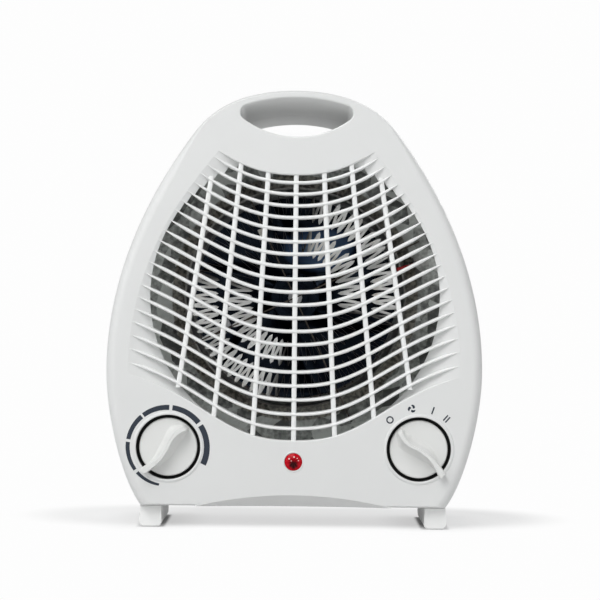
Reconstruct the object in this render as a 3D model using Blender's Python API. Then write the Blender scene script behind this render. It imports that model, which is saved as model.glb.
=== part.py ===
# Portable fan heater with a grille front, a slanting handle opening and two rotary controls.
# The front faces -Y, +Z is up and the origin is on the floor under the middle of the body.
import math

import bmesh
import bpy
import numpy as np

MM = 0.001

# Clearances and walls
GAP = 0.3 * MM
WALL = 2.3 * MM
EMBED = 1.0 * MM
MERGE = 0.003 * MM

# Body outline, seen from the front
BODY_HALF_WIDTH = 110.0 * MM
BODY_TOP_Z = 255.0 * MM
BODY_BOTTOM_Z = 12.7 * MM
BELLY_Z = 91.0 * MM
SHOULDER_X = 59.4 * MM
SHOULDER_Z = 230.6 * MM
SHOULDER_ANGLE = math.radians(53)
BASE_HALF_WIDTH = 89.5 * MM
BASE_ANGLE = math.radians(53)
TOP_HANDLE = 35.1 * MM
SHOULDER_HANDLE_IN = 14.0 * MM
SHOULDER_HANDLE_OUT = 36.0 * MM
BELLY_HANDLE_UP = 61.5 * MM
BELLY_HANDLE_DOWN = 26.3 * MM
BASE_HANDLE = 18.0 * MM

# Depths along Y
FACE_Y = -52.0 * MM
PARTING_Y = -2.0 * MM
BACK_Y = 50.0 * MM
BACK_LEAN = 26.0 * MM
BACK_LEAN_START_Z = 184.0 * MM
DRAFT = 0.8 * MM

# Rounding of the two shells' outer edges
EDGE_DEPTH = 6.0 * MM
FLANK_ROUND = 6.0 * MM
TOP_ROUND = 1.6 * MM
BOTTOM_ROUND = 1.5 * MM
TOP_ROUND_Z = 236.0 * MM
FLANK_ROUND_Z = 205.0 * MM
BACK_ROUND = 10.0 * MM
BACK_TOP_ROUND = 6.0 * MM
BACK_BOTTOM_ROUND = 5.0 * MM
BACK_RING_SHARES = (0.85, 0.62, 0.4)

# Handle opening: a lens between two arcs, with rounded ends
HANDLE_TOP_Z = 249.8 * MM
HANDLE_TOP_RADIUS = 99.0 * MM
HANDLE_LOW_Z = 227.4 * MM
HANDLE_LOW_RADIUS = 52.0 * MM
HANDLE_END_RADIUS = 4.5 * MM
HANDLE_SLOPE = 0.13
HANDLE_SOFT_EDGE = 1.2 * MM
HANDLE_WALL = 2.7 * MM

# Finger scoop under the front edge
SCOOP_HALF_SPAN = 54.0 * MM
SCOOP_RISE = 6.8 * MM

# Grille rows: sagging bars whose shape changes from top to bottom
ROW_COUNT = 20
ROW_TOP_Z = 200.7 * MM
ROW_PITCH = 6.6 * MM
ROW_PITCH_GROWTH = 0.091 * MM
ROW_SPAN = 43.7 * MM
ROW_SPAN_GAIN = 52.7 * MM
ROW_SAG = 13.0 * MM
ROW_SAG_GAIN = 24.6 * MM
ROW_POWER = 2.3
ROW_FLARE = 0.62
FIELD_TOP_ROW = 0.35
FIELD_BOTTOM_ROW = 20.8
BAR_FRONT_WIDTH = 1.7 * MM
BAR_REAR_WIDTH = 2.6 * MM
BAR_DEPTH = 5.4 * MM
BAR_SETBACK = 0.2 * MM
BAR_TIP_LENGTH = 9.0 * MM
BAR_SAMPLES = 9

# Upright ribs that cross the bars
UPRIGHT_COUNT = 7
UPRIGHT_PITCH_TOP = 16.3 * MM
UPRIGHT_PITCH_LOW = 23.9 * MM
UPRIGHT_WIDTH = 2.9 * MM
UPRIGHT_SETBACK = 0.7 * MM

# Grille opening and its sloping surround
FAN_Z = 134.0 * MM
OPENING_RADIUS = 84.0 * MM
SURROUND_DEPTH = 7.0 * MM
SURROUND_TIP_DEPTH = 0.05 * MM

# Controls
KNOB_X = 72.6 * MM
KNOB_Z = 46.8 * MM
KNOB_RADIUS = 16.8 * MM
KNOB_THICKNESS = 4.4 * MM
KNOB_SETBACK = 2.0 * MM
KNOB_TOP_Y = -57.5 * MM
KNOB_WELL_RADIUS = 18.5 * MM
KNOB_WELL_DEPTH = 10.0 * MM
KNOB_RING_RADIUS = 20.6 * MM
KNOB_RING_HEIGHT = 0.6 * MM
KNOB_RING_SIDES = 36
WELL_SIDES = 32
KNOB_SIDES = 28
KNOB_FACE_WALL = 1.6 * MM
KNOB_EDGE = 1.0 * MM
KNOB_NIB_RADIUS = 20.4 * MM
KNOB_POINTER_RADIUS = 16.2 * MM
KNOB_RIDGE_WIDTH = 2.4 * MM
KNOB_RIDGE_FLANK = 2.6 * MM
KNOB_RIDGE_LEAST = 0.4 * MM
KNOB_POINTER_FALL = 0.35
KNOB_RIDGE_SWAY = 2.6 * MM
THERMOSTAT_REST = math.radians(44)
SELECTOR_REST = math.radians(-45)
SPINDLE_RADIUS = 3.0 * MM
SPINDLE_HOLE_CLEARANCE = 1.0 * MM
CONTROL_BODY_SIZE = 30.0 * MM
CONTROL_BODY_DEPTH = 17.0 * MM
CONTROL_SCREW_OFFSET = 9.5 * MM
SPINDLE_SOCKET = 3.0 * MM
TAB_PITCH = 8.0 * MM
TAB_WIDTH = 6.0 * MM
TAB_LENGTH = 7.0 * MM
TAB_SHEET = 0.8 * MM

# Pilot lamp
LAMP_Z = 38.9 * MM
LAMP_RADIUS = 5.2 * MM
LAMP_DOME = 1.6 * MM
LAMP_BODY_LENGTH = 20.0 * MM
LAMP_COLLAR_WIDTH = 1.6 * MM
LAMP_COLLAR_SHEET = 1.2 * MM
LAMP_LENS_SIDES = 18
LAMP_BODY_SIDES = 12

# Feet
FOOT_X = 82.8 * MM
FOOT_TOP_WIDTH = 12.0 * MM
FOOT_LOW_WIDTH = 12.8 * MM
FOOT_FRONT_Y = -46.0 * MM
FOOT_REAR_Y = 34.0 * MM
FOOT_CORNER = 2.6 * MM
FOOT_REAR_RISE = 3.0 * MM
FOOT_PRONG_WIDTH = 6.0 * MM
FOOT_PRONG_LENGTH = 8.0 * MM
FOOT_PRONG_HOOK = 1.4 * MM
FOOT_FRONT_PRONG_Y = -26.0 * MM
FOOT_REAR_PRONG_Y = 18.0 * MM

# Screws and their posts
POST_SHOULDER_IN = 7.4 * MM
POST_SHOULDER_DOWN = 9.6 * MM
POST_FLANK_IN = 9.5 * MM
POST_FLANK_Z = 110.0 * MM
POST_BASE_IN = 29.5 * MM
POST_BASE_UP = 10.8 * MM
POST_RADIUS = 3.8 * MM
COLUMN_RADIUS = 6.4 * MM
COLUMN_FLOOR = 2.6 * MM
SCREW_RADIUS = 1.3 * MM
SCREW_SIDES = 8
POST_SIDES = 10
HOLE_SIDES = 16
SCREW_HOLE_RADIUS = 1.7 * MM
SCREW_HEAD_RADIUS = 3.2 * MM
SCREW_HEAD_HEIGHT = 1.9 * MM
SCREW_WELL_RADIUS = 4.4 * MM
SHELL_SCREW_LENGTH = 16.0 * MM
SHORT_SCREW_LENGTH = 7.0 * MM

# Air intake on the back
INTAKE_RADIUS = 66.0 * MM
INTAKE_BACK_Y = 57.5 * MM
DRUM_SIDES = 40
INTAKE_SLOT_RADIUS = 58.0 * MM
INTAKE_SLOT_HEIGHT = 4.2 * MM
INTAKE_SLOT_PITCH = 8.0 * MM
INTAKE_RIB_X = 19.0 * MM
INTAKE_RIB_WIDTH = 3.2 * MM

# Air duct of folded sheet
DUCT_SHEET = 0.8 * MM
DUCT_MOUTH_RADIUS = 85.2 * MM
DUCT_THROAT_RADIUS = 66.0 * MM
DUCT_THROAT_Y = -14.0 * MM
DUCT_REAR_Y = 12.0 * MM
DUCT_FLANGE_WIDTH = 3.1 * MM
DUCT_EAR_REACH = 6.2 * MM
DUCT_EAR_RADIUS = 4.4 * MM
DUCT_SIDES = 32

# Heating element on crossed mica boards
BOARD_SHEET = 0.8 * MM
BOARD_FRONT_Y = -35.0 * MM
BOARD_REAR_Y = -17.0 * MM
BOARD_ANGLE = math.radians(25)
WIRE_RADIUS = 0.35 * MM
WIRE_FRONT_Y = -30.0 * MM
WIRE_REAR_Y = -25.5 * MM
OUTER_WIRE = (46.0 * MM, 60.5 * MM, 40)
INNER_WIRE = (26.0 * MM, 40.5 * MM, 28)
WIRE_HOLE_CLEARANCE = 0.5 * MM
CUTOUT_WIDTH = 4.4 * MM
CUTOUT_HEIGHT = 4.0 * MM
CUTOUT_FRONT_Y = -33.0 * MM
CUTOUT_REAR_Y = -20.0 * MM
FUSE_WIDTH = 4.0 * MM
FUSE_HEIGHT = 3.0 * MM
FUSE_FRONT_Y = -32.0 * MM
FUSE_REAR_Y = -21.0 * MM

# Lead from the switch to the heating wire
LEAD_RADIUS = 1.1 * MM
LEAD_HOLE_RADIUS = 2.2 * MM
LEAD_BEND_RADIUS = 82.0 * MM
LEAD_BEND_Y = -22.0 * MM
LEAD_SLACK = 12.0 * MM

# Fan and motor
IMPELLER_RADIUS = 60.0 * MM
IMPELLER_HUB_RADIUS = 15.0 * MM
IMPELLER_FRONT_Y = -9.0 * MM
IMPELLER_DEPTH = 17.0 * MM
IMPELLER_HUB_WALL = 1.6 * MM
IMPELLER_BOSS_RADIUS = 4.6 * MM
BLADE_COUNT = 6
BLADE_THICKNESS = 1.3 * MM
BLADE_SWEEP = math.radians(18)
BLADE_ROOT_SHARE = 0.72
BLADE_TWIST = 0.28
BLADE_CAMBER = 1.4 * MM
HUB_SIDES = 20
BLADE_OVERLAP = math.radians(8)
SHAFT_RADIUS = 1.6 * MM
SHAFT_SIDES = 12
SHAFT_FRONT_REACH = 4.0 * MM
SHAFT_REAR_REACH = 3.0 * MM
CLIP_SHEET = 1.4 * MM
CLIP_RADIUS = 4.2 * MM
MOTOR_FRONT_Y = 16.0 * MM
STATOR_DEPTH = 14.0 * MM
STATOR_WIDTH = 48.0 * MM
STATOR_ABOVE = 19.0 * MM
STATOR_BELOW = 41.0 * MM
STATOR_BORE_RADIUS = 12.0 * MM
STATOR_WINDOW_HEIGHT = 9.0 * MM
STATOR_LEG_WIDTH = 10.0 * MM
ROTOR_RADIUS = 11.5 * MM
COIL_THICKNESS = 7.0 * MM
COIL_END_GAP = 1.5 * MM
BRACKET_SHEET = 1.2 * MM
BRACKET_WIDTH = 12.0 * MM
BRACKET_STANDOFF = 5.0 * MM
BRACKET_BOSS_RADIUS = 4.2 * MM
MOTOR_SCREW_X = 20.0 * MM
MOTOR_POST_RADIUS = 4.2 * MM

# Cord inlet low on the back
GLAND_X = 62.0 * MM
GLAND_Z = 52.0 * MM
GLAND_RADIUS = 6.0 * MM
GLAND_FLANGE_RADIUS = 8.0 * MM
GLAND_BORE_RADIUS = 3.4 * MM
GLAND_REACH = 3.0 * MM
GLAND_INNER_REACH = 4.0 * MM
GLAND_SOFT_EDGE = 1.0 * MM

FINISHES = {
    "shell_plastic": ((0.72, 0.73, 0.72), 0.42, 0.0),
    "knob_plastic": ((0.66, 0.66, 0.65), 0.38, 0.0),
    "foot_plastic": ((0.70, 0.71, 0.70), 0.45, 0.0),
    "lamp_red": ((0.45, 0.01, 0.02), 0.15, 0.0),
    "lamp_white": ((0.80, 0.80, 0.78), 0.45, 0.0),
    "galvanised_sheet": ((0.42, 0.43, 0.43), 0.38, 0.9),
    "mica": ((0.35, 0.28, 0.20), 0.6, 0.0),
    "nichrome": ((0.62, 0.60, 0.56), 0.3, 1.0),
    "fan_plastic": ((0.03, 0.04, 0.06), 0.25, 0.0),
    "steel": ((0.55, 0.55, 0.56), 0.35, 1.0),
    "lamination": ((0.30, 0.30, 0.31), 0.5, 0.8),
    "copper_winding": ((0.45, 0.16, 0.06), 0.35, 0.6),
    "ceramic": ((0.78, 0.76, 0.70), 0.6, 0.0),
    "switch_plastic": ((0.10, 0.10, 0.10), 0.5, 0.0),
    "red_lead": ((0.45, 0.02, 0.02), 0.4, 0.0),
    "black_rubber": ((0.03, 0.03, 0.03), 0.7, 0.0),
}


# Mesh helpers

def finish(name):
    """The Principled material of one finish, made once."""
    material = bpy.data.materials.get(name)
    if material is None:
        colour, roughness, metallic = FINISHES[name]
        material = bpy.data.materials.new(name)
        material.use_nodes = True
        shader = material.node_tree.nodes["Principled BSDF"]
        shader.inputs["Base Color"].default_value = (*colour, 1.0)
        shader.inputs["Roughness"].default_value = roughness
        shader.inputs["Metallic"].default_value = metallic
    return material


def mesh_object(name, points, faces, finish_name, smooth_angle=32):
    """A mesh object with its normals outwards and its edges sharp past an angle."""
    mesh = bpy.data.meshes.new(name)
    mesh.from_pydata([tuple(map(float, point)) for point in points], [], faces)
    model = bmesh.new()
    model.from_mesh(mesh)
    bmesh.ops.recalc_face_normals(model, faces=model.faces)
    model.to_mesh(mesh)
    model.free()
    mesh.materials.append(finish(finish_name or "shell_plastic"))
    item = bpy.data.objects.new(name, mesh)
    bpy.context.scene.collection.objects.link(item)
    shade(item, smooth_angle)
    return item


def shade(item, smooth_angle=32):
    """Smooth shading with sharp edges past an angle in degrees."""
    item.data.shade_smooth()
    item.data.set_sharp_from_angle(angle=math.radians(smooth_angle))


def loft(rings, closed=False):
    """Points and faces of a skin through rings of equal count, capped unless closed on itself."""
    count = len(rings[0])
    points = np.concatenate([np.asarray(ring, float) for ring in rings])
    faces = []
    steps = len(rings) if closed else len(rings) - 1
    for step in range(steps):
        low = step * count
        high = ((step + 1) % len(rings)) * count
        for i in range(count):
            j = (i + 1) % count
            faces.append((low + i, low + j, high + j, high + i))
    if not closed:
        faces.append(tuple(range(count)))
        faces.append(tuple(range(len(points) - count, len(points))))
    return points, faces


def slab(front, back):
    """A solid between two grids of points with the same rows and columns."""
    rows, columns = front.shape[:2]
    points = np.concatenate([front.reshape(-1, 3), back.reshape(-1, 3)])
    behind = rows * columns
    faces = []
    for r in range(rows - 1):
        for c in range(columns - 1):
            a = r * columns + c
            b = a + columns
            faces.append((a, a + 1, b + 1, b))
            faces.append((behind + a, behind + b, behind + b + 1, behind + a + 1))
    rim = [c for c in range(columns)]
    rim += [r * columns + columns - 1 for r in range(1, rows)]
    rim += [(rows - 1) * columns + c for c in range(columns - 2, -1, -1)]
    rim += [r * columns for r in range(rows - 2, 0, -1)]
    for a, b in zip(rim, rim[1:] + rim[:1]):
        faces.append((a, b, behind + b, behind + a))
    return points, faces


def turned(name, profile, finish_name, segments, x=0.0, z=0.0):
    """A body turned about a line along Y through (x, z). The profile holds (radius, y) pairs.

    A profile whose ends lie on the axis is closed there, and any other runs back to its start.
    """
    on_axis = profile[0][0] == 0.0
    inner = profile[1:-1] if on_axis else profile
    turns = [2 * math.pi * k / segments for k in range(segments)]
    rings = []
    for radius, y in inner:
        rings.append([(x + radius * math.cos(t), y, z + radius * math.sin(t)) for t in turns])
    if not on_axis:
        points, faces = loft(rings, closed=True)
        return mesh_object(name, points, faces, finish_name)
    points, faces = loft(rings)
    faces = faces[:-2]
    points = np.concatenate([points, [(x, profile[0][1], z), (x, profile[-1][1], z)]])
    first = len(points) - 2
    last_ring = first - segments
    for k in range(segments):
        after = (k + 1) % segments
        faces.append((first, k, after))
        faces.append((first + 1, last_ring + k, last_ring + after))
    return mesh_object(name, points, faces, finish_name)


def rod(name, radius, y_front, y_back, finish_name="", x=0.0, z=0.0, segments=24):
    """A plain round rod along Y."""
    profile = ((0.0, y_front), (radius, y_front), (radius, y_back), (0.0, y_back))
    return turned(name, profile, finish_name, segments, x, z)


def block(name, low, high, finish_name="shell_plastic"):
    """A box between two corners."""
    rings = []
    for y in (low[1], high[1]):
        rings.append([
            (low[0], y, low[2]), (high[0], y, low[2]), (high[0], y, high[2]), (low[0], y, high[2]),
        ])
    points, faces = loft(rings)
    return mesh_object(name, points, faces, finish_name)


def prism(name, outline_xz, y_front, y_back, finish_name="shell_plastic"):
    """An outline in the XZ plane drawn out along Y."""
    rings = [[(x, y, z) for x, z in outline_xz] for y in (y_front, y_back)]
    points, faces = loft(rings)
    return mesh_object(name, points, faces, finish_name)


def tube(name, path, radius, finish_name, sides):
    """A round tube with capped ends along a path of points."""
    path = np.asarray(path, float)
    along = np.gradient(path, axis=0)
    along /= np.linalg.norm(along, axis=1)[:, None]
    reference = np.array([0.0, 1.0, 0.0])
    if abs(along[0] @ reference) > 0.9:
        reference = np.array([1.0, 0.0, 0.0])
    side = np.cross(along[0], reference)
    side /= np.linalg.norm(side)
    rings = []
    for point, direction in zip(path, along):
        side = side - direction * (side @ direction)
        side /= np.linalg.norm(side)
        over = np.cross(direction, side)
        turns = np.arange(sides) * 2 * math.pi / sides
        rings.append(point + radius * (np.outer(np.cos(turns), side) + np.outer(np.sin(turns), over)))
    points, faces = loft(rings)
    return mesh_object(name, points, faces, finish_name)


def combine(target, tools, operation):
    """Applies one Boolean for each tool in turn and removes the tools."""
    for tool in tools:
        tool.hide_render = True
        tool.display_type = "WIRE"
        modifier = target.modifiers.new(operation.title(), "BOOLEAN")
        modifier.operation = operation
        modifier.solver = "EXACT"
        modifier.object = tool
    depsgraph = bpy.context.evaluated_depsgraph_get()
    mesh = bpy.data.meshes.new_from_object(target.evaluated_get(depsgraph))
    model = bmesh.new()
    model.from_mesh(mesh)
    bmesh.ops.remove_doubles(model, verts=model.verts, dist=MERGE)
    bmesh.ops.dissolve_degenerate(model, edges=model.edges, dist=MERGE)
    model.to_mesh(mesh)
    model.free()
    target.modifiers.clear()
    target.data = mesh
    for tool in tools:
        bpy.data.objects.remove(tool)
    shade(target)
    return target


def cut(target, *tools):
    """Takes the tools away from the target."""
    return combine(target, tools, "DIFFERENCE")


def add(target, *tools):
    """Joins the tools to the target."""
    return combine(target, tools, "UNION")


def gathered(name, items):
    """Several separate solids in one object, for use as one cutter or one addition."""
    points = []
    faces = []
    for item in items:
        start = len(points)
        points += [tuple(vertex.co) for vertex in item.data.vertices]
        faces += [tuple(start + i for i in face.vertices) for face in item.data.polygons]
        bpy.data.objects.remove(item)
    return mesh_object(name, points, faces, "shell_plastic")


def hang_on(parent_name, place, items):
    """Parents items to an empty on a joint's axis, keeping their places."""
    empty = bpy.data.objects.new(parent_name, None)
    empty.location = place
    bpy.context.scene.collection.objects.link(empty)
    for item in items:
        for vertex in item.data.vertices:
            vertex.co.x -= place[0]
            vertex.co.y -= place[1]
            vertex.co.z -= place[2]
        item.parent = empty
    return empty


# Outline of the body

def bezier(start, start_handle, end_handle, end, count):
    """Points of a cubic curve, without its last point."""
    t = np.linspace(0.0, 1.0, count, endpoint=False)[:, None]
    start, start_handle, end_handle, end = map(np.asarray, (start, start_handle, end_handle, end))
    return (
        (1 - t) ** 3 * start
        + 3 * (1 - t) ** 2 * t * start_handle
        + 3 * (1 - t) * t**2 * end_handle
        + t**3 * end
    )


def body_outline():
    """The whole outline as (x, z) pairs, anticlockwise from the front, starting at the top."""
    top = np.array([0.0, BODY_TOP_Z])
    shoulder = np.array([SHOULDER_X, SHOULDER_Z])
    belly = np.array([BODY_HALF_WIDTH, BELLY_Z])
    base = np.array([BASE_HALF_WIDTH, BODY_BOTTOM_Z])
    fall = np.array([math.cos(SHOULDER_ANGLE), -math.sin(SHOULDER_ANGLE)])
    tuck = np.array([-math.cos(BASE_ANGLE), -math.sin(BASE_ANGLE)])
    right = np.concatenate([
        bezier(top, top + (TOP_HANDLE, 0), shoulder - SHOULDER_HANDLE_IN * fall, shoulder, 9),
        bezier(
            shoulder, shoulder + SHOULDER_HANDLE_OUT * fall, belly + (0, BELLY_HANDLE_UP), belly, 9
        ),
        bezier(belly, belly - (0, BELLY_HANDLE_DOWN), base - BASE_HANDLE * tuck, base, 7),
        [base],
    ])
    left = right[1:] * (-1, 1)
    return np.concatenate([left, right[::-1]])


def inset(loop, distances):
    """Moves each edge of an anticlockwise loop inwards by its own distance."""
    following = np.roll(loop, -1, axis=0)
    edges = following - loop
    edges /= np.linalg.norm(edges, axis=1)[:, None]
    inward = np.stack([-edges[:, 1], edges[:, 0]], axis=1)
    moved = np.empty_like(loop)
    for i in range(len(loop)):
        before = inward[i - 1]
        after = inward[i]
        corner = before[0] * after[1] - before[1] * after[0]
        if abs(corner) > 0.4:
            step = np.linalg.solve([before, after], [distances[i - 1], distances[i]])
        else:
            middle = before + after
            step = middle * (distances[i - 1] + distances[i]) / (middle @ middle)
        moved[i] = loop[i] + step
    return moved


def edge_values(loop, flank, top, bottom):
    """One value for each edge: the flank's, blended to the top's, and the bottom's below."""
    following = np.roll(loop, -1, axis=0)
    middle_z = (loop[:, 1] + following[:, 1]) / 2
    share = np.clip((middle_z - FLANK_ROUND_Z) / (TOP_ROUND_Z - FLANK_ROUND_Z), 0, 1)
    values = flank + (top - flank) * share
    level = np.abs(following[:, 1] - loop[:, 1]) < 1e-6
    values[level & (middle_z < BELLY_Z)] = bottom
    return values


def at_depth(loop, y):
    """A loop of (x, z) pairs put at one depth, or at a depth for each point."""
    depth = np.broadcast_to(y, len(loop))
    return np.stack([loop[:, 0], depth, loop[:, 1]], axis=1)


def back_depth(z):
    """The depth of the back wall, which leans forward towards the handle."""
    share = np.clip((z - BACK_LEAN_START_Z) / (BODY_TOP_Z - BACK_LEAN_START_Z), 0, 1)
    return BACK_Y - BACK_LEAN * share * share * (3 - 2 * share)


# Handle opening

def arc_points(centre, radius, start, end, count):
    """Points of an arc from one angle to another, both ends included."""
    turns = np.linspace(start, end, count)
    return np.stack([centre[0] + radius * np.cos(turns), centre[1] + radius * np.sin(turns)], axis=1)


def handle_lens(grow=0.0):
    """The handle opening's outline at the face, grown outwards by a distance.

    It is an arc above, an arc below and a small arc at each end that is tangent to both.
    """
    top_centre = np.array([0.0, HANDLE_TOP_Z - HANDLE_TOP_RADIUS])
    low_centre = np.array([0.0, HANDLE_LOW_Z + HANDLE_LOW_RADIUS])
    reach_top = HANDLE_TOP_RADIUS - HANDLE_END_RADIUS
    reach_low = HANDLE_LOW_RADIUS - HANDLE_END_RADIUS
    apart = low_centre[1] - top_centre[1]
    rise = (reach_top**2 - reach_low**2 + apart**2) / (2 * apart)
    end_x = math.sqrt(reach_top**2 - rise**2)
    end_centre = np.array([end_x, top_centre[1] + rise])
    top_turn = math.atan2(rise, end_x)
    low_turn = math.atan2(end_centre[1] - low_centre[1], end_x)
    end_arc = arc_points(end_centre, HANDLE_END_RADIUS + grow, low_turn, top_turn, 6)
    top_arc = arc_points(
        top_centre, HANDLE_TOP_RADIUS + grow, top_turn, math.pi - top_turn, 13
    )[1:-1]
    low_arc = arc_points(
        low_centre, HANDLE_LOW_RADIUS + grow, -math.pi - low_turn, low_turn, 13
    )[1:-1]
    other_end = end_arc[::-1] * (-1, 1)
    return np.concatenate([end_arc, top_arc, other_end, low_arc])


def handle_passage(name, grow, y_front, y_back, soft=False):
    """The sloping passage through the handle, with softened mouths if asked."""
    stations = [(y_front, grow), (y_back, grow)]
    if soft:
        stations = [
            (FACE_Y - 2 * HANDLE_SOFT_EDGE, grow + 1.2 * HANDLE_SOFT_EDGE),
            (FACE_Y, grow + 0.8 * HANDLE_SOFT_EDGE),
            (FACE_Y + 0.5 * HANDLE_SOFT_EDGE, grow + 0.25 * HANDLE_SOFT_EDGE),
            (FACE_Y + 1.5 * HANDLE_SOFT_EDGE, grow),
            (y_back, grow),
        ]
    rings = []
    for y, size in stations:
        lens = handle_lens(size)
        lens[:, 1] -= HANDLE_SLOPE * (y - FACE_Y)
        rings.append(at_depth(lens, y))
    points, faces = loft(rings)
    return mesh_object(name, points, faces, "shell_plastic")


def scoop(name, grow):
    """The finger scoop: an arched edge drawn back and down at 45 degrees."""
    half = SCOOP_HALF_SPAN + grow
    rise = SCOOP_RISE + grow
    radius = (half**2 + rise**2) / (2 * rise)
    turn = math.asin(half / radius)
    centre = np.array([0.0, BODY_BOTTOM_Z + rise - radius])
    arch = arc_points(centre, radius, math.pi / 2 - turn, math.pi / 2 + turn, 13)
    low = BODY_BOTTOM_Z - 4 * SCOOP_RISE
    loop = np.concatenate([arch, [(-half, low), (half, low)]])
    rings = []
    for y in (FACE_Y - SCOOP_RISE, FACE_Y + 3 * SCOOP_RISE):
        moved = loop.copy()
        moved[:, 1] -= y - FACE_Y
        rings.append(at_depth(moved, y))
    points, faces = loft(rings)
    return mesh_object(name, points, faces, "shell_plastic")


# Grille rows, measured in rows down from the top

def row_point(row, u):
    """A point of a grille row: u runs from -1 at its left tip to 1 at its right tip."""
    row, u = np.broadcast_arrays(np.asarray(row, float), np.asarray(u, float))
    growth = np.sin(np.clip(row, 0, None) * math.pi / (2 * (ROW_COUNT + 1)))
    span = ROW_SPAN + ROW_SPAN_GAIN * growth
    sag = ROW_SAG + ROW_SAG_GAIN * growth
    middle = ROW_TOP_Z - ROW_PITCH * (row - 1) - ROW_PITCH_GROWTH * (row - 1) * row / 2
    reach = np.abs(u)
    power = reach**ROW_POWER
    low_shape = power / (power + ROW_FLARE * np.clip(1 - reach, 0, None))
    share = np.clip(row / (ROW_COUNT + 1), 0, 1)
    return u * span, middle + sag * (power + share * (low_shape - power))


def opening_limit(row):
    """The value of u where a row crosses the round edge of the opening, by halving."""
    row = np.asarray(row, float)
    low = np.zeros_like(row)
    high = np.ones_like(row)
    for _ in range(40):
        middle = (low + high) / 2
        x, z = row_point(row, middle)
        inside = np.hypot(x, z - FAN_Z) < OPENING_RADIUS
        low = np.where(inside, middle, low)
        high = np.where(inside, high, middle)
    return low


def surround_depth(row, u):
    """How far the sloping surround lies behind the face."""
    row = np.clip(row, FIELD_TOP_ROW, FIELD_BOTTOM_ROW)
    limit = opening_limit(row)
    share = np.clip((1 - np.abs(u)) / (1 - limit), 0, 1)
    return SURROUND_TIP_DEPTH + (SURROUND_DEPTH - SURROUND_TIP_DEPTH) * share


def field_rows(spread=0.0):
    """The rows at which the grille field is sampled, spread past both ends if asked."""
    inner = np.arange(1, ROW_COUNT + 1, dtype=float)
    return np.concatenate([[FIELD_TOP_ROW - spread], inner, [FIELD_BOTTOM_ROW + spread]])


def field_cutter(name):
    """What the grille field takes out of the shell: the surround and the opening."""
    rows = field_rows()[:, None]
    limit = opening_limit(rows)
    inside = limit - GAP / ROW_SPAN
    shares = np.linspace(0, 1, 3)[None, :]
    middle = np.linspace(-1, 1, 11)[None, :]
    slope = 1 - shares * (1 - limit)
    u = np.concatenate([-slope, middle * inside, slope[:, ::-1]], axis=1)
    depth = surround_depth(rows, u)
    through = np.abs(u) < inside + 1e-9
    depth = np.where(through, SURROUND_DEPTH + 2 * WALL, depth)
    x, z = row_point(rows, u)
    front = np.stack([x, np.full_like(x, FACE_Y - WALL), z], axis=2)
    back = np.stack([x, FACE_Y + depth, z], axis=2)
    points, faces = slab(front, back)
    return mesh_object(name, points, faces, "shell_plastic")


def field_wall(name):
    """The solid that carries the surround's wall inside the shell."""
    margin = WALL / ROW_PITCH
    rows = np.linspace(FIELD_TOP_ROW - margin, FIELD_BOTTOM_ROW + margin, 10)[:, None]
    u = np.linspace(-1, 1, 14)[None, :] * np.ones_like(rows)
    x, z = row_point(rows, u)
    x = x + WALL * np.sign(u) * (np.abs(u) > 0.99)
    depth = surround_depth(rows, u) + WALL
    front = np.stack([x, np.full_like(x, FACE_Y + GAP), z], axis=2)
    back = np.stack([x, FACE_Y + depth + SURROUND_TIP_DEPTH, z], axis=2)
    points, faces = slab(front, back)
    return mesh_object(name, points, faces, "shell_plastic")


def grille_bars():
    """All the sagging bars, each a tapering section carried along its row."""
    bars = []
    for row in range(1, ROW_COUNT + 1):
        u = np.linspace(-1, 1, BAR_SAMPLES)
        tip = BAR_TIP_LENGTH / row_point(row, 1.0)[0]
        u = np.sort(np.concatenate([u, [-(1 - tip), 1 - tip]]))
        x, z = row_point(row, u)
        slope = np.gradient(z, x)
        normal = np.stack([-slope, np.ones_like(slope)], axis=1)
        normal /= np.linalg.norm(normal, axis=1)[:, None]
        taper = np.clip((1 - np.abs(u)) / tip, 0.12, 1)
        back = FACE_Y + np.minimum(BAR_DEPTH, surround_depth(row, u) + EMBED)
        rings = []
        for i in range(len(u)):
            ring = []
            for width, y in (
                (-BAR_FRONT_WIDTH, FACE_Y + BAR_SETBACK),
                (BAR_FRONT_WIDTH, FACE_Y + BAR_SETBACK),
                (BAR_REAR_WIDTH, back[i]),
                (-BAR_REAR_WIDTH, back[i]),
            ):
                side = normal[i] * width / 2 * taper[i]
                ring.append((x[i] + side[0], y, z[i] + side[1]))
            rings.append(ring)
        points, faces = loft(rings)
        bars.append(mesh_object(f"bar_{row}", points, faces, "shell_plastic"))
    return gathered("bars", bars)


def upright_x(number, z):
    """Where an upright rib stands: the ribs fan out towards the bottom."""
    top_x, top_z = row_point(FIELD_TOP_ROW, 0.0)
    low_x, low_z = row_point(FIELD_BOTTOM_ROW, 0.0)
    share = (top_z - z) / (top_z - low_z)
    return number * (UPRIGHT_PITCH_TOP + share * (UPRIGHT_PITCH_LOW - UPRIGHT_PITCH_TOP))


def opening_end(number, sign):
    """The height at which an upright leaves the opening, upwards for 1 and downwards for -1."""
    low = FAN_Z
    high = FAN_Z + sign * (OPENING_RADIUS + WALL)
    row = FIELD_TOP_ROW if sign > 0 else FIELD_BOTTOM_ROW
    for _ in range(40):
        middle = (low + high) / 2
        x = upright_x(number, middle)
        span = row_point(row, 1.0)[0]
        edge = row_point(row, np.clip(abs(x) / span, 0, 1))[1]
        inside = math.hypot(x, middle - FAN_Z) < OPENING_RADIUS and sign * (edge - middle) > 0
        low, high = (middle, high) if inside else (low, middle)
    return low


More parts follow.
